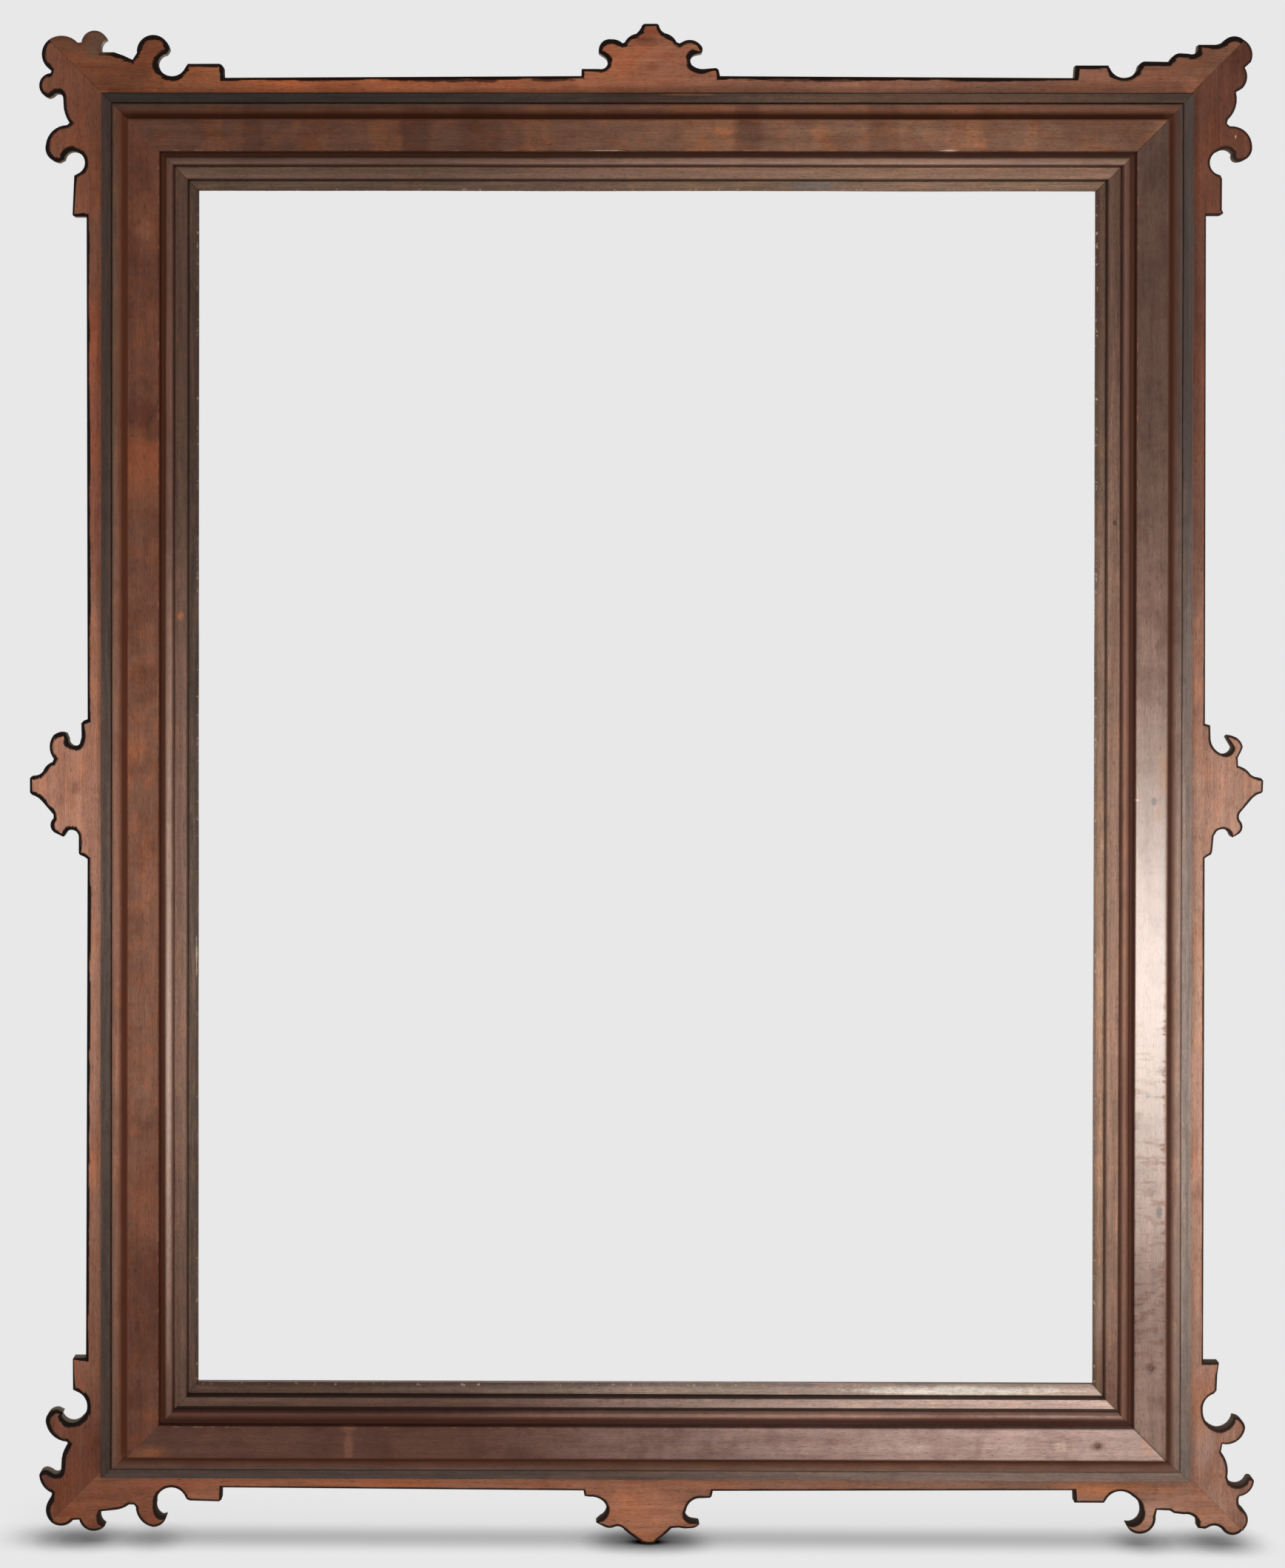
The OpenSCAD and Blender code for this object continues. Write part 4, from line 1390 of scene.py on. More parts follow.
def fret_finish(side: Side) -> Timber:
    """Red-brown walnut of the fret boards, more orange where the polish is worn thin."""
    tone = by_side(Paint(166, 98, 66), Paint(108, 68, 54), Paint(142, 92, 69), Paint(128, 82, 63))
    pale_and_sheen = by_side(Paint(142, 99, 81), Paint(188, 146, 126), Paint(130, 96, 80), Paint(182, 132, 110))
    joint = by_side(BLACK_DIRT_AND_SHADE, Paint(96, 68, 56), Paint(160, 112, 88), Paint(120, 92, 78))
    patches = by_side(
        (
            Patch(WARM, 0.25, -264, 7, 44, 10),
            Patch(DEEP, 0.7, 4, -7, 7, 4),
            Patch(DEEP, 0.6, 1, -25, 10, 6),
            Patch(DULL, 0.3, 90, 6, 40, 14),
            Patch(Tint(0.5, 0.52, 0.55), 1.0, -388, -18, 96, 40, soft=0.5, ragged=0.5),
            Patch(Tint(0.78, 0.84, 0.86), 1.0, -330, 2, 90, 26, soft=0.6, ragged=0.5),
            Patch(Tint(0.58, 0.67, 0.72), 0.95, 378, -22, 96, 32, soft=0.6, ragged=0.5),
            Patch(DEEP, 1.0, 0.0, -34, 26, 18, soft=0.8),
            Patch(Paint(96, 72, 57), 0.85, -378, -27, 16, 15, soft=0.35, ragged=0.4),
            Patch(Paint(100, 66, 50), 0.75, -396, -28, 18, 14, soft=0.5, ragged=0.4),
            Patch(LIGHT, 0.4, 150, 6, 40, 9),
            # dirt and painted shade along the top's straight edge
            edge_dirt_and_shade(0.85, -140, 1.8, 48, 2.0),
            edge_dirt_and_shade(0.8, -66, 1.6, 20, 1.6),
            edge_dirt_and_shade(0.7, -224, 1.6, 22, 1.6),
            edge_dirt_and_shade(0.75, 120, 1.6, 60, 1.8),
            edge_dirt_and_shade(0.7, 228, 1.6, 36, 1.6),
            Patch(WARM, 0.35, -20, -10, 26, 16, ragged=1.0),
            Patch(LIGHT, 0.12, -190, 8, 110, 5, soft=0.8),
            Patch(LIGHT, 0.4, -335, 8, 24, 7, soft=0.9),
            Patch(LIGHT, 0.4, -20, 8, 34, 7, soft=0.9),
            Patch(LIGHT, 0.3, 150, 8, 110, 5, soft=0.8),
        ),
        (
            Patch(DEEP, 0.6, -281, 4, 9, 7),
            Patch(Paint(170, 138, 126), 0.5, -455, 0, 26, 10),
            Patch(WARM, 0.5, -430, 2, 34, 9),
            Patch(Paint(166, 128, 112), 0.55, -496, -10, 22, 16, ragged=1.2),
            Patch(DEEP, 0.4, 480, -8, 60, 40, ragged=0.8),
            Patch(DEEP, 0.8, 506, -27, 30, 20, soft=0.8),
            Patch(DEEP, 0.4, 42, 6, 36, 14, soft=0.9),
            Patch(PALE_RUB_AND_GLINT, 0.8, 447, -20, 1.6, 0.6),
        ),
        (
            Patch(Paint(160, 122, 106), 0.7, 352, -16, 26, 12, ragged=1.2),
            Patch(WARM, 0.9, 318, 2, 60, 9, ragged=1.0),
            Patch(DEEP, 0.85, -372, -16, 60, 34, ragged=0.8),
            Patch(LIGHT, 0.9, 384, -18, 60, 32, ragged=0.8),
            Patch(LIGHT, 0.6, 306, -3, 34, 12, ragged=0.8),
            Patch(LIGHT, 1.0, 0.0, -16, 40, 24, ragged=0.6),
            Patch(DEEP, 0.4, -338, -3, 10, 6),
            Patch(WARM, 0.4, -180, 6, 60, 8),
            Patch(DEEP, 0.3, 150, 6, 50, 12, soft=0.9),
            Patch(Paint(156, 86, 62), 0.4, -326, 4, 46, 12, soft=0.9),
        ),
        (
            Patch(WARM, 0.45, 316, 2, 32, 11),
            Patch(WARM, 0.35, -271, 2, 24, 10),
            Patch(DEEP, 0.8, -3, -7, 6, 4),
            Patch(DEEP, 0.95, -480, -8, 70, 46, ragged=0.8),
            Patch(DEEP, 0.25, 0.0, -14, 34, 22, soft=0.9),
            # dirt and painted shade along the left's straight edge
            edge_dirt_and_shade(0.7, 180, 1.4, 90, 1.5),
            edge_dirt_and_shade(0.6, -200, 1.4, 80, 1.4),
            Patch(DEEP, 0.5, 465, -8, 80, 44, ragged=0.8),
            Patch(Tint(1.15, 0.95, 0.94), 0.8, 240, 6, 130, 12),
        ),
    )
    # The line at the foot of the ebony strip is nearly black on the top, partly painted shade
    seams = (Seam(joint[side], 0.9 if side is Side.TOP else 0.5, PROFILE.ebony - 0.3, 0.3, 0.5),)
    # On the left and bottom, a pale broken line beside the strip is rubbed wear and partly a painted
    # highlight
    if side in (Side.LEFT, Side.BOTTOM):
        seams += (Seam(PALE_RUB_AND_GLINT, 0.75, PROFILE.ebony - 0.4, 0.2, 0.3, run=9, cover=0.5),)
    low, high = by_side((0.5, 0.3), (0.2, 0.3), (0.0, 0.2), (0.0, 0.5))[side]
    # The edge's dark is darkest on the top and left: dirt, and painted shade where the edges face away from
    # the light. The walls are paler on the top and left and dark on the bottom, as painted light and shade.
    stain = by_side(Paint(22, 12, 9), Paint(50, 33, 27), Paint(38, 25, 20), Paint(22, 15, 13))
    wall = by_side(Paint(142, 126, 108), Paint(96, 82, 70), Paint(60, 46, 38), Paint(136, 122, 104))
    clean = Patch(BARE, 0.85, -388, -30, 32, 18, soft=0.3, ragged=0.4) if side is Side.TOP else None
    return Timber(
        name="fret_walnut", tone=tone[side], bloom=bloom(side, pale_and_sheen[side]), stripe=8, figure=0.14,
        fibre=0.22, pores=0.5,
        clouds=(Cloud(DEEP, 0.45, 30, 16, 0.42, 0.10), Cloud(WARM, 0.4, 46, 14, 0.44, 0.10),
                Cloud(LIGHT, 0.26, 13, 9, 0.44, 0.09)),
        seams=seams, patches=patches[side], mitre=MitreLine(Paint(52, 28, 22), low, high, 0.3),
        roughness=0.5, gloss=0.14,
        sawn=SawnEdge(stain[side], wall[side], by_side(0.5, 0.15, 0.2, 0.4)[side], clean),
        back=BareBack(Paint(142, 108, 78)))


def ebony_finish(side: Side) -> Timber:
    """Black stain rubbed through to brown and grey."""
    tone = by_side(Paint(50, 41, 37), Paint(66, 50, 42), Paint(72, 56, 49), Paint(66, 51, 45))
    pale_and_sheen = by_side(Paint(97, 76, 64), Paint(154, 136, 126), Paint(130, 109, 99), Paint(95, 80, 72))
    patches = by_side(
        (Patch(Paint(150, 98, 68), 0.5, 29, 15, 26, 1.5, soft=0.6, ragged=1.6),
         Patch(Paint(132, 92, 70), 0.4, 120, 17, 70, 1.6, soft=0.6, ragged=2.2),
         Patch(Paint(120, 84, 64), 0.35, 240, 18, 120, 4, soft=0.8, ragged=1.6),
         Patch(DEEP, 0.8, 0.0, 18, 80, 20, soft=0.9)),
        (), (), ())
    # Dark lines at the ebony strip's joints, strongest on the top and nearly none on the right, partly
    # painted shade
    joints = (Seam(BLACK_DIRT_AND_SHADE, by_side(0.9, 0.05, 0.35, 0.45)[side], PROFILE.ogee - 0.7, 0.4, 0.6),)
    if side is Side.TOP:
        joints += (Seam(BLACK_DIRT_AND_SHADE, 0.85, PROFILE.ebony + 0.2, 0.5, 0.5),)
    return Timber(
        name="ebonised", tone=tone[side], bloom=bloom(side, pale_and_sheen[side]), stripe=6, figure=0.18, fibre=0.3,
        pores=0.4,
        clouds=(Cloud(Tint(1.3, 1.1, 0.95), 0.5, 38, 7, 0.42, 0.10), Cloud(DEEP, 0.4, 16, 5, 0.44, 0.08)),
        seams=joints, patches=patches[side], mitre=MitreLine(BLACK_DIRT_AND_SHADE, 0.3, 0.3),
        roughness=by_side(0.42, 0.3, 0.4, 0.42)[side], gloss=by_side(0.14, 0.4, 0.2, 0.14)[side])


def ogee_finish(side: Side) -> Timber:
    """Brown walnut whose hollow is black-red with old polish, dirt and painted shade."""
    tone = by_side(Paint(92, 60, 46), Paint(78, 57, 48), Paint(96, 66, 53), Paint(112, 80, 64))
    pale_and_sheen = by_side(Paint(148, 101, 80), Paint(182, 150, 134), Paint(122, 88, 72), Paint(172, 124, 103))
    hollow_dirt_and_shade = by_side(Paint(58, 29, 16), Paint(78, 44, 31), Paint(72, 41, 29), Paint(93, 49, 33))[side]
    # The hollow next to the panel is darkened as dirt and painted shade
    seams = (Seam(hollow_dirt_and_shade, 0.95, PROFILE.panel - 1.6, 1.6, 7.0),
             Seam(CREASE_DIRT_AND_SHADE, 0.7, PROFILE.panel, 0.5, 1.2),
             Seam(BLACK_DIRT_AND_SHADE, by_side(0.7, 0.0, 0.3, 0.5)[side], PROFILE.ogee, 0.3, 0.6))
    patches = by_side((*top_bands(0.55), Patch(DEEP, 0.5, 34, 28, 40, 14, soft=0.9)), (), (),
                      (Patch(DEEP, 0.5, 445, 28, 60, 12, soft=0.9),))
    return Timber(
        name="ogee_walnut", tone=tone[side], bloom=bloom(side, pale_and_sheen[side]), stripe=5, figure=0.14,
        fibre=0.22, pores=0.4,
        clouds=(Cloud(DEEP, 0.5, 26, 14, 0.43, 0.09), Cloud(AMBER, 0.45, 16, 18, 0.42, 0.08)),
        seams=seams, patches=patches[side], mitre=MitreLine(BLACK_DIRT_AND_SHADE, 0.25, 0.25), roughness=0.4,
        gloss=by_side(0.12, 0.25, 0.14, 0.12)[side])


def panel_finish(side: Side) -> Timber:
    """The wide panel: mottled veneer under old polish, with its own marks on each side."""
    tone = by_side(Paint(88, 59, 46), Paint(90, 66, 56), Paint(86, 55, 44), Paint(96, 60, 46))
    pale_and_sheen = by_side(Paint(126, 92, 74), Paint(166, 134, 119), Paint(182, 154, 145), Paint(125, 86, 69))
    patches = by_side(
        (
            *top_bands(0.6),
            Patch(PALE_RUB_AND_GLINT, 0.6, -28, 56, 16, 0.5, soft=0.6, ragged=2.0),
            Patch(PALE_RUB_AND_GLINT, 0.8, 203, 56, 8, 0.7, soft=0.6, ragged=1.0),
        ),
        (
            Patch(Paint(150, 110, 80), 0.8, 13, 38, 24, 5.5, soft=0.6, ragged=1.8),
            Patch(Paint(150, 106, 76), 0.7, -15, 41, 9, 3.6, soft=0.6, ragged=1.2),
            Patch(LIGHT, 0.35, 125, 45, 70, 14, soft=0.9),
            Patch(Paint(60, 42, 36), 0.8, -284, 40, 7, 3),
            Patch(Paint(92, 62, 52), 0.8, -390, 45, 7, 5.5, soft=0.9, ragged=0.3),
            Patch(Paint(60, 42, 36), 0.8, -206, 48, 3, 2),
            Patch(Paint(70, 48, 40), 0.8, -7, 44, 4, 2.6),
            Patch(PALE_RUB_AND_GLINT, 0.9, -6, 56, 0.8, 2.4, ragged=0.3),
            band(DEEP, 0.5, -350, 40),
        ),
        (
            Patch(DEEP, 0.45, -219, 45, 15, 14, soft=0.5, ragged=0.3),
            Patch(DEEP, 0.45, -183, 45, 15, 14, soft=0.5, ragged=0.3),
            Patch(Paint(128, 84, 64), 0.75, -201, 58, 8, 8, soft=0.8, ragged=0.5),
            Patch(Paint(120, 78, 60), 0.7, -201, 42, 4.5, 16, soft=0.7, ragged=0.5),
            Patch(Paint(140, 84, 52), 0.6, -336, 38, 22, 8, soft=1.0, ragged=0.8),
            Patch(Paint(92, 58, 46), 0.8, 305, 45, 6.5, 4.8, soft=0.9, ragged=0.3),
            Patch(DEEP, 0.5, 225, 46, 5, 12, soft=0.8, ragged=1.6),
            band(DEEP, 0.3, 80, 110),
            Patch(DEEP, 0.35, 256, 50, 14, 3, soft=0.8, ragged=1.6),
            Patch(WARM, 0.35, 338, 44, 6, 9, ragged=1.0),
            Patch(PALE_RUB_AND_GLINT, 0.35, 280, 44, 7, 5, ragged=1.4),
        ),
        (
            Patch(Paint(146, 78, 48), 0.5, 222, 46, 18, 24, soft=0.5, ragged=0.5),
            Patch(Paint(134, 80, 54), 0.4, 204, 46, 28, 24, soft=0.9, ragged=0.6),
            Patch(DEEP, 0.8, 254, 46, 13, 16, soft=0.7, ragged=0.8),
            Patch(AMBER, 0.5, 28, 40, 20, 10, ragged=1.2),
            Patch(AMBER, 0.4, -60, 50, 24, 9, ragged=1.2),
            Patch(Paint(128, 76, 54), 0.4, -281, 46, 42, 13, ragged=1.2),
            Patch(Paint(134, 88, 68), 0.4, 378, 46, 12, 9, ragged=1.4),
            Patch(Paint(146, 104, 86), 0.4, -204, 46, 10, 8, ragged=1.6),
            band(DEEP, 0.5, -350, 50),
            band(LIGHT, 0.25, 20, 26),
        ),
    )
    # Dark lines at the panel's edges: dirt and painted shade in the creases beside it
    seams = (Seam(Paint(80, 40, 26), 0.7, PROFILE.panel, 0.4, 1.0),
             Seam(Paint(70, 36, 26), 0.6, PROFILE.roll, 0.3, 0.7),
             Seam(OLD_RUB, 0.5, PROFILE.roll - 0.7, 0.1, 0.4, run=6, cover=0.40))
    low, high = by_side((0.0, 0.5), (0.9, 0.5), (0.15, 0.9), (0.0, 0.0))[side]
    # On the right and bottom the mottle is a pale dusty tint, partly painted sheen
    lit, glow = by_side((AMBER, 0.4), (DUST_AND_SHEEN, 0.0), (DUST_AND_SHEEN, 0.1), (AMBER, 0.4))[side]
    shine = Patch(BARE, 1.0, -180, 45, 320, ALL_ACROSS, soft=0.9, ragged=0.3)
    polish = Polish(shine) if side is Side.RIGHT else None
    return Timber(
        name="panel_walnut", tone=tone[side], bloom=bloom(side, pale_and_sheen[side]), stripe=11, figure=0.12,
        fibre=0.2, pores=0.5,
        clouds=(Cloud(DEEP, 0.6, 26, 22, 0.45, 0.10), Cloud(lit, 0.5, 19, 34, 0.42, 0.10),
                Cloud(WARM, glow, 14, 10, 0.44, 0.07), Cloud(DEEP, 0.35, 9, 2.5, 0.42, 0.06)),
        seams=seams, patches=patches[side], mitre=MitreLine(BLACK_DIRT_AND_SHADE, low, high, 0.3),
        scratches=Scratches(0.2 if side is Side.RIGHT else 0.1),
        roughness=by_side(0.42, 0.32, 0.34, 0.42)[side], unevenness=0.08,
        gloss=by_side(0.14, 0.2, 0.25, 0.14)[side], polish=polish)


def roll_finish(side: Side) -> Timber:
    """The roll beside the panel, its groove darkened with dark polish and painted shade, with painted
    highlights along its crown.
    """
    tone = by_side(Paint(98, 72, 61), Paint(100, 68, 56), Paint(90, 56, 45), Paint(98, 67, 55))
    pale_and_sheen = by_side(Paint(152, 120, 103), Paint(140, 98, 80), Paint(196, 154, 138), Paint(160, 126, 110))
    groove_dirt_and_shade = by_side(Paint(60, 33, 21), Paint(84, 50, 36), Paint(64, 34, 24), Paint(80, 42, 27))[side]
    # The pale narrow patches along the crown on the top, bottom and left are painted highlights; the dark
    # patches over the bottom roll are painted shade
    patches = by_side(
        (Patch(Paint(190, 144, 128), 0.3, 200, 63, 60, 2.5, soft=1.0),),
        (Patch(DEEP, 0.75, -205, 61, 50, 9, soft=0.9),
         Patch(DEEP, 0.6, -430, 61, 80, 9, soft=0.9)),
        (Patch(Paint(236, 210, 198), 0.6, 267, 65, 60, 1.0, soft=0.8, ragged=1.0),
         Patch(DEEP, 0.9, 240, 61, 140, 9, soft=0.9),
         Patch(Paint(76, 44, 34), 0.8, 235, 60, 150, 7, soft=0.9),
         Patch(LIGHT, 0.5, -60, 61, 80, 9, soft=0.9)),
        (Patch(DEEP, 0.5, 450, 61, 60, 9, soft=0.9),
         Patch(DEEP, 0.6, -430, 61, 50, 9, soft=0.9),
         Patch(Paint(226, 200, 186), 0.5, -180, 63, 270, 2.3, soft=1.0),
         Patch(LIGHT, 0.7, 285, 61, 60, 9, soft=0.9)),
    )
    # The groove's dark, dirt and painted shade, is wider on the right and bottom
    half, soft = by_side((1.1, 3.2), (1.7, 4.6), (3.1, 4.1), (1.1, 3.2))[side]
    seams = (Seam(groove_dirt_and_shade, 0.95, PROFILE.roll + half - 0.4, half, soft),
             Seam(CREASE_DIRT_AND_SHADE, 0.6, PROFILE.roll, 0.6, 0.9),
             Seam(Paint(50, 28, 22), by_side(0.7, 0.4, 0.2, 0.4)[side], PROFILE.liner, 0.35, 0.6))
    return Timber(
        name="roll_walnut", tone=tone[side],
        bloom=bloom(side, pale_and_sheen[side], by_side(0.0, 70, -60, 0.0)[side]), stripe=4, figure=0.12,
        fibre=0.2, pores=0.35,
        clouds=(Cloud(DEEP, 0.4, 30, 9, 0.42, 0.1), Cloud(AMBER, 0.3, 14, 12, 0.42, 0.08)),
        seams=seams, patches=patches[side], mitre=MitreLine(BLACK_DIRT_AND_SHADE, 0.25, 0.25), roughness=0.34,
        gloss=by_side(0.2, 0.3, 0.3, 0.2)[side])


def liner_finish(side: Side) -> Timber:
    """The stepped liner, grey-brown with greenish patches on its sight band."""
    tone = by_side(Paint(98, 74, 62), Paint(98, 72, 61), Paint(92, 67, 57), Paint(84, 61, 51))
    pale_and_sheen = by_side(Paint(144, 111, 93), Paint(172, 135, 116), Paint(208, 178, 166), Paint(132, 101, 87))
    middle = (PROFILE.step + PROFILE.sight) / 2
    # On the right and bottom, the pale patches along the middle of the sight band are painted highlights
    patches = by_side(
        (Patch(Paint(104, 108, 112), 0.5, 113, middle, 24, 4),),
        (Patch(Paint(50, 36, 30), 0.7, 181, 70, 3, 2),
         Patch(LIGHT, 0.6, -120, middle, 180, 5, soft=0.8, ragged=1.2),
         Patch(LIGHT, 0.8, -295, middle, 90, 5, soft=0.9),
         Patch(DEEP, 0.75, -425, 71, 80, 14, soft=0.8),
         Patch(Paint(190, 158, 144), 0.3, -352, middle, 40, 4, soft=0.9),
         Patch(Tint(0.8, 0.78, 0.78), 1.0, -40, 70, 300, 4.3, soft=0.4, ragged=0.3)),
        (Patch(Paint(246, 230, 218), 0.8, 215, middle, 85, 3.4, soft=0.6, ragged=1.4),
         Patch(LIGHT, 0.7, -10, middle, 180, 5, soft=0.9),
         Patch(Paint(206, 184, 174), 0.16, -20, middle, 240, 5, soft=1.0),
         Patch(DEEP, 0.35, 275, 70, 50, 4.3, soft=0.9)),
        (Patch(Paint(170, 104, 66), 0.7, 117, 70, 4, 3),
         Patch(Paint(140, 92, 72), 0.6, -186, middle, 11, 3),
         Patch(Tint(0.64, 0.68, 0.7), 0.9, -60, 78, 330, 4, soft=0.4, ragged=0.4),
         Patch(PALE_RUB_AND_GLINT, 0.6, -115, 80, 16, 0.6, soft=0.5, ragged=2.0)),
    )
    green = Tint(0.68, 0.84, 0.84) if side is Side.LEFT else Tint(0.84, 0.92, 0.9)
    # The lines at the steps are nearly black on the bottom, where the steps face up: painted shade over the
    # joints
    gap, into, half = by_side((0.6, 0.0, 0.3), (0.3, 0.0, 0.3), (0.95, 1.2, 1.1), (0.25, 0.0, 0.3))[side]
    seams = (Seam(green, 0.8, middle, 2.4, 1.2, run=52, cover=0.55 if side is Side.LEFT else 0.6),
             Seam(Paint(40, 27, 22), by_side(0.7, 0.35, 0.9, 0.3)[side], PROFILE.step, 0.3, 0.5),
             Seam(Paint(34, 22, 18), gap, PROFILE.liner + into, half, 0.6),
             # The pale broken line at the sight edge is rubbed wear, made stronger on the right and bottom as
             # painted highlights
             Seam(PALE_RUB_AND_GLINT, by_side(0.4, 0.8, 0.7, 0.4)[side], PROFILE.sight - 0.6, 0.2, 0.5, run=4,
                  cover=0.38))
    shift = 70 if side is Side.RIGHT else 0.0
    return Timber(
        name="liner_walnut", tone=tone[side], bloom=bloom(side, pale_and_sheen[side], shift), stripe=5, figure=0.14,
        fibre=0.28, pores=0.5,
        clouds=(Cloud(Tint(0.76, 0.82, 0.78), 0.5, 50, 12, 0.45, 0.10),
                Cloud(AMBER, 0.4, 22, 5, 0.42, 0.08)),
        seams=seams, patches=patches[side], mitre=MitreLine(BLACK_DIRT_AND_SHADE, 0.35, 0.35), roughness=0.4,
        gloss=0.16)


MEMBER_FINISH = {"ebonised_strip": ebony_finish, "ogee": ogee_finish, "panel": panel_finish,
                 "roll": roll_finish, "sight_liner": liner_finish}
CORE_WOOD = Timber(name="core_softwood", tone=Paint(156, 122, 82), pore=Paint(90, 62, 38), stripe=6,
                   figure=0.24, fibre=0.15, pores=0.2, clouds=(Cloud(DEEP, 0.4, 70, 20, 0.44, 0.12),),
                   roughness=0.75, gloss=0.2)
PIN_FILLER = Timber(name="pin_filler", tone=Paint(112, 80, 68), roughness=0.7, gloss=0.2)
OLD_STEEL = Metal("old_steel", Paint(150, 146, 140), Paint(84, 66, 52), 0.62, 0.4)
OLD_BRASS = Metal("old_brass", Paint(184, 152, 100), Paint(112, 88, 58), 0.56, 0.36)


@dataclass(frozen=True)
class Lamp:
    """A soft rectangular lamp, which stands at a point and faces another, in metres and watts."""

    name: str
    at: tuple[float, float, float]
    aim: tuple[float, float, float]
    size: tuple[float, float]
    watts: float
    colour: tuple[float, float, float] = (1.0, 1.0, 1.0)
    glossy: bool = True

    def build(self, scene: bpy.types.Scene) -> None:
        """Hangs the lamp. The camera never sees it, and polished wood mirrors it if it is glossy.

        Args:
            scene: The scene to hang it in.
        """
        data = bpy.data.lights.new(self.name, "AREA")
        data.shape = "RECTANGLE"
        data.size, data.size_y = self.size
        data.energy = self.watts
        data.color = self.colour
        lamp = bpy.data.objects.new(self.name, data)
        lamp.location = self.at
        lamp.rotation_euler = (Vector(self.aim) - Vector(self.at)).to_track_quat("-Z", "Y").to_euler()
        lamp.visible_camera = False
        lamp.visible_glossy = self.glossy
        scene.collection.objects.link(lamp)


def seen_rays(tree: Tree) -> Socket:
    """1 for the rays that see the backdrop: camera, glossy and transmission rays."""
    path = tree.add("ShaderNodeLightPath").outputs
    seen = tree.greater(path["Is Camera Ray"], path["Is Glossy Ray"])
    return tree.greater(seen, path["Is Transmission Ray"])


@dataclass
class Floor:
    """The pale floor just under the lowest scroll, with the frame's soft shadow. It is in metres.

    The shadow has three parts: a strip under the frame, a faint one behind it, and the dark where a
    scroll comes near the floor.
    """

    half: float = 4.0
    gap: float = 0.1 * MM
    grey: tuple[float, float, float, float] = (0.6, 0.6, 0.6, 1.0)
    under: float = 0.36
    under_at: float = 2 * MM
    under_half: float = 26 * MM
    behind: float = 0.08
    behind_from: tuple[float, float] = (-30 * MM, 10 * MM)
    behind_to: tuple[float, float] = (90 * MM, 0.0)
    middle: float = -10 * MM
    ends: tuple[float, float] = (0.45, 0.40)
    contact: float = 0.62
    contact_reach: float = 20 * MM
    contact_open: float = 0.4
    sky_from: tuple[float, float, float] = (0.0, -0.5, 0.87)
    sky_reach: float = 28 * MM
    sky_span: tuple[float, float] = (0.35, 1.0)
    sky_least: float = 0.05
    samples: int = 12

    def build(self, scene: bpy.types.Scene, backdrop: float) -> None:
        """Lays the floor.

        Args:
            scene: The scene.
            backdrop: The brightness of the backdrop, which the floor shares.
        """
        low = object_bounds()[0]
        mesh = bmesh.new()
        bmesh.ops.create_grid(mesh, x_segments=1, y_segments=1, size=self.half)
        bmesh.ops.translate(mesh, verts=mesh.verts, vec=(0.0, 0.0, low.z - self.gap))
        data = bpy.data.meshes.new("floor")
        mesh.to_mesh(data)
        mesh.free()
        material = bpy.data.materials.new("floor")
        material.use_nodes = True
        material.node_tree.nodes.clear()
        tree = Tree(material.node_tree)
        level = tree.times(self._light(tree), backdrop)
        pale = tree.add("ShaderNodeEmission", {"Color": BARE, "Strength": level})
        matt = tree.add("ShaderNodeBsdfDiffuse", {"Color": self.grey})
        both = tree.add("ShaderNodeMixShader", {0: seen_rays(tree), 1: matt.outputs[0], 2: pale.outputs[0]})
        tree.add("ShaderNodeOutputMaterial", {"Surface": both.outputs[0]})
        data.materials.append(material)
        floor = bpy.data.objects.new("floor", data)
        scene.collection.objects.link(floor)
        floor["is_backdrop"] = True

    def _light(self, tree: Tree) -> Socket:
        """Works out how much light is left at each point of the floor.

        Args:
            tree: The floor's tree.

        Returns:
            The light, from 0 in the deepest shadow to 1 in the open.
        """
        place = tree.parts(tree.add("ShaderNodeTexCoord").outputs["Object"])
        under = tree.fade(tree.apart(place[1], self.under_at), self.under_half, 0.0)
        behind = tree.times(tree.fade(place[1], *self.behind_to), tree.fade(place[1], *self.behind_from))
        strips = tree.scaled(under, self.under, tree.times(behind, self.behind))
        strips = tree.times(strips, tree.fade(tree.apart(place[0], self.middle), *self.ends))
        touch = tree.ramp(self._open(tree, self.contact_reach), self.contact_open, 1.0, 1.0, 0.0)
        dark = tree.scaled(touch, self.contact, strips, clamp=True)
        sky = tree.ramp(self._open(tree, self.sky_reach, tree.place(*self.sky_from)), *self.sky_span,
                        self.sky_least, 1.0)
        return tree.times(tree.minus(1.0, dark), sky)

    def _open(self, tree: Tree, reach: float, normal: Socket | None = None) -> Socket:
        """Works out how open each point of the floor lies.

        Args:
            tree: The floor's tree.
            reach: How far away a scroll still counts.
            normal: The direction to look in, or none for straight up.

        Returns:
            1 where nothing is near, and less towards the scrolls.
        """
        feeds = {"Distance": reach} if normal is None else {"Distance": reach, "Normal": normal}
        return tree.add("ShaderNodeAmbientOcclusion", feeds, samples=self.samples).outputs["AO"]


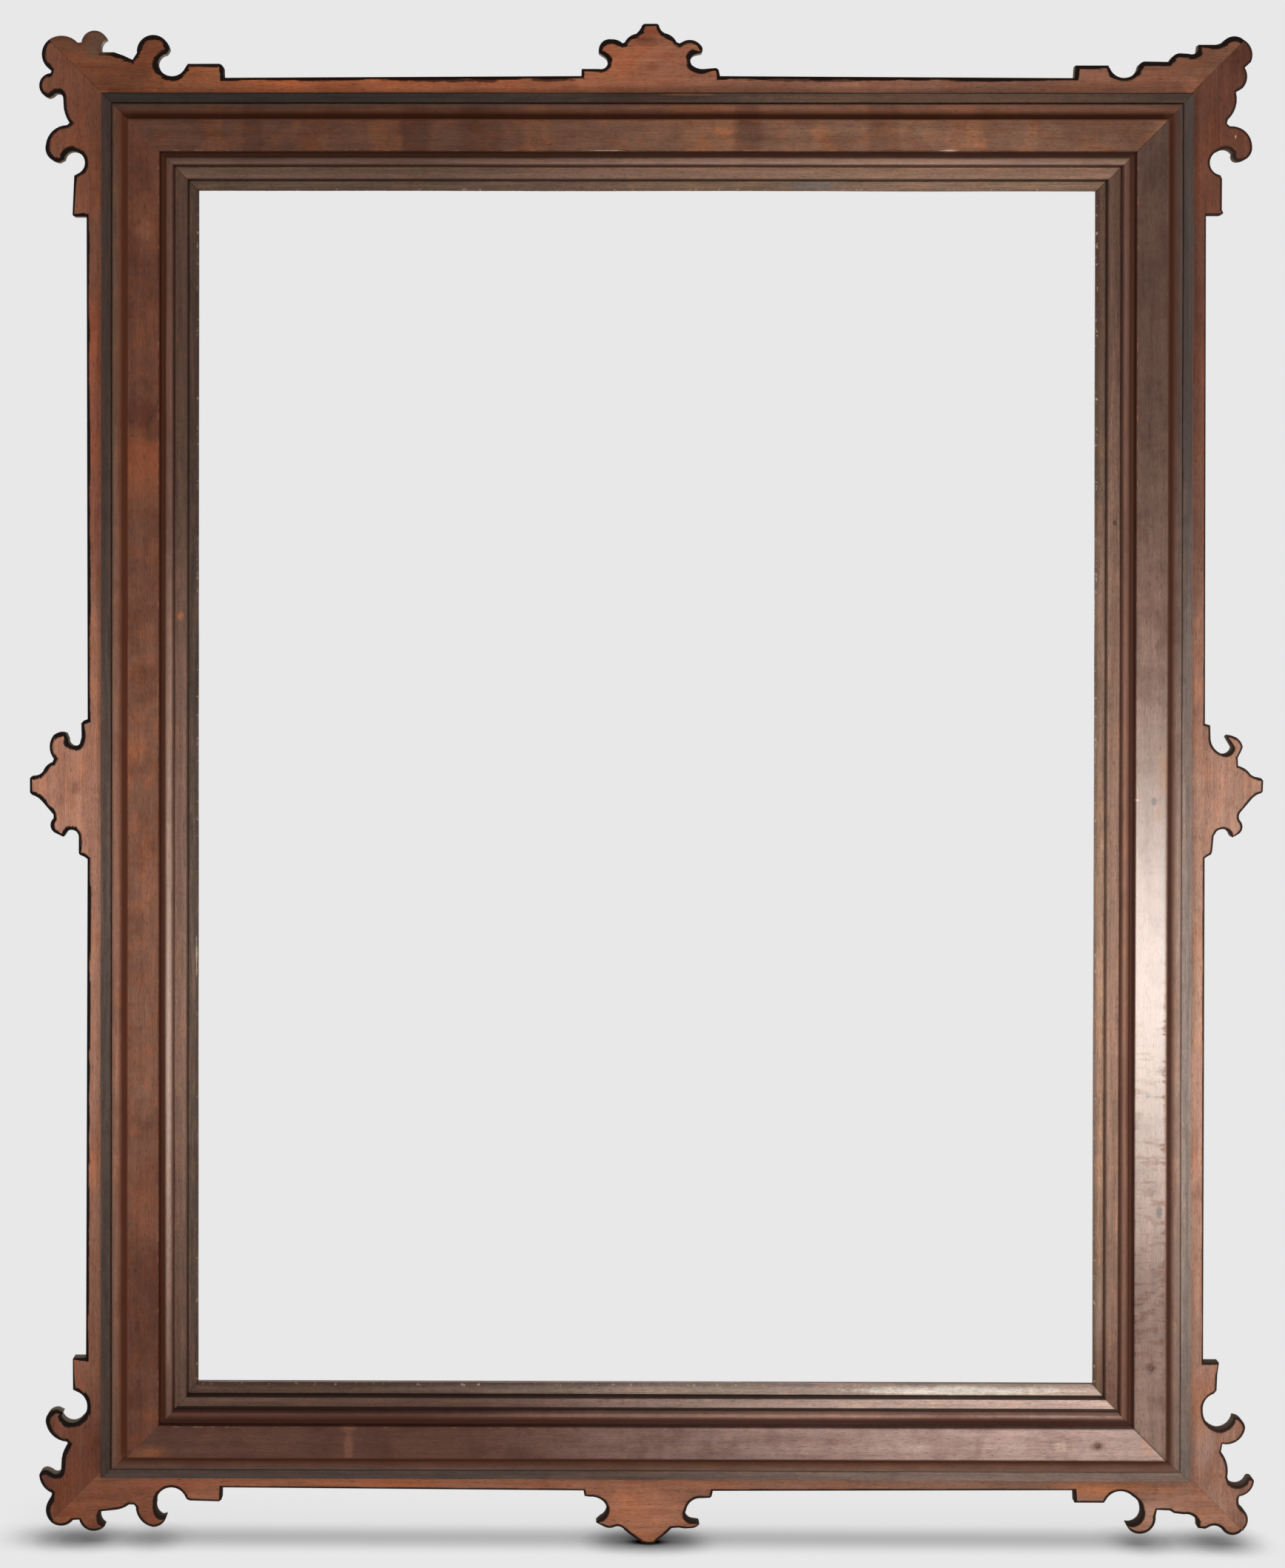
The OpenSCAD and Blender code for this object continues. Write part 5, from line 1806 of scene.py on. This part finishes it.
@dataclass
class Studio:
    """Camera, lamps, floor and backdrop, in metres and degrees."""

    eye: tuple[float, float, float] = (-64.3 * MM, -1509.5 * MM, 179.5 * MM)
    pitch: float = -0.230
    roll: float = -0.078
    yaw: float = 0.262
    lens: float = 49.975
    film: float = 36.0
    shift: tuple[float, float] = (0.0641, -0.1601)
    backdrop: float = 0.807
    fill: float = 0.15
    lamps: tuple[Lamp, ...] = (
        Lamp("window", (0.66, -1.2, -0.38), (0.3, 0.0, -0.2), (0.35, 0.5), 5.8, colour=(1.0, 0.965, 0.915)),
        Lamp("room", (-0.16, -1.75, 0.12), (0.0, 0.0, 0.0), (1.2, 1.2), 22.0, glossy=False),
        Lamp("behind", (-0.3, 2.2, -0.3), (0.0, 0.0, 0.0), (1.6, 1.2), 44.0))

    def build(self) -> None:
        """Sets up everything that the frame is seen by."""
        scene = bpy.context.scene
        scene.view_settings.view_transform = "Standard"
        self._camera(scene)
        for lamp in self.lamps:
            lamp.build(scene)
        self._world(scene)
        Floor().build(scene, self.backdrop)

    def _camera(self, scene: bpy.types.Scene) -> None:
        """Places the camera where the photograph was taken from."""
        data = bpy.data.cameras.new("camera")
        data.lens = self.lens
        data.sensor_width = self.film
        data.shift_x, data.shift_y = self.shift
        camera = bpy.data.objects.new("camera", data)
        camera.location = self.eye
        camera.rotation_euler = [math.radians(angle) for angle in (90 + self.pitch, self.roll, self.yaw)]
        scene.collection.objects.link(camera)
        scene.camera = camera

    def _world(self, scene: bpy.types.Scene) -> None:
        """Makes the pale backdrop and the even fill light."""
        world = bpy.data.worlds.new("studio")
        world.use_nodes = True
        scene.world = world
        world.node_tree.nodes.clear()
        tree = Tree(world.node_tree)
        fill = tree.add("ShaderNodeBackground", {"Color": BARE, "Strength": self.fill})
        pale = tree.add("ShaderNodeBackground", {"Color": BARE, "Strength": self.backdrop})
        both = tree.add("ShaderNodeMixShader", {0: seen_rays(tree), 1: fill.outputs[0], 2: pale.outputs[0]})
        tree.add("ShaderNodeOutputWorld", {"Surface": both.outputs[0]})


def main() -> None:
    """Builds the frame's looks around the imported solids."""
    logging.basicConfig(level=logging.INFO, format="%(message)s")
    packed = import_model()
    nodes = packed["nodes"]
    effects = Effects()
    Studio().build()
    Boards().build(nodes, effects)
    Moulding().build(nodes, effects)
    Backs().build(nodes, effects)


if __name__ == "__main__":
    main()
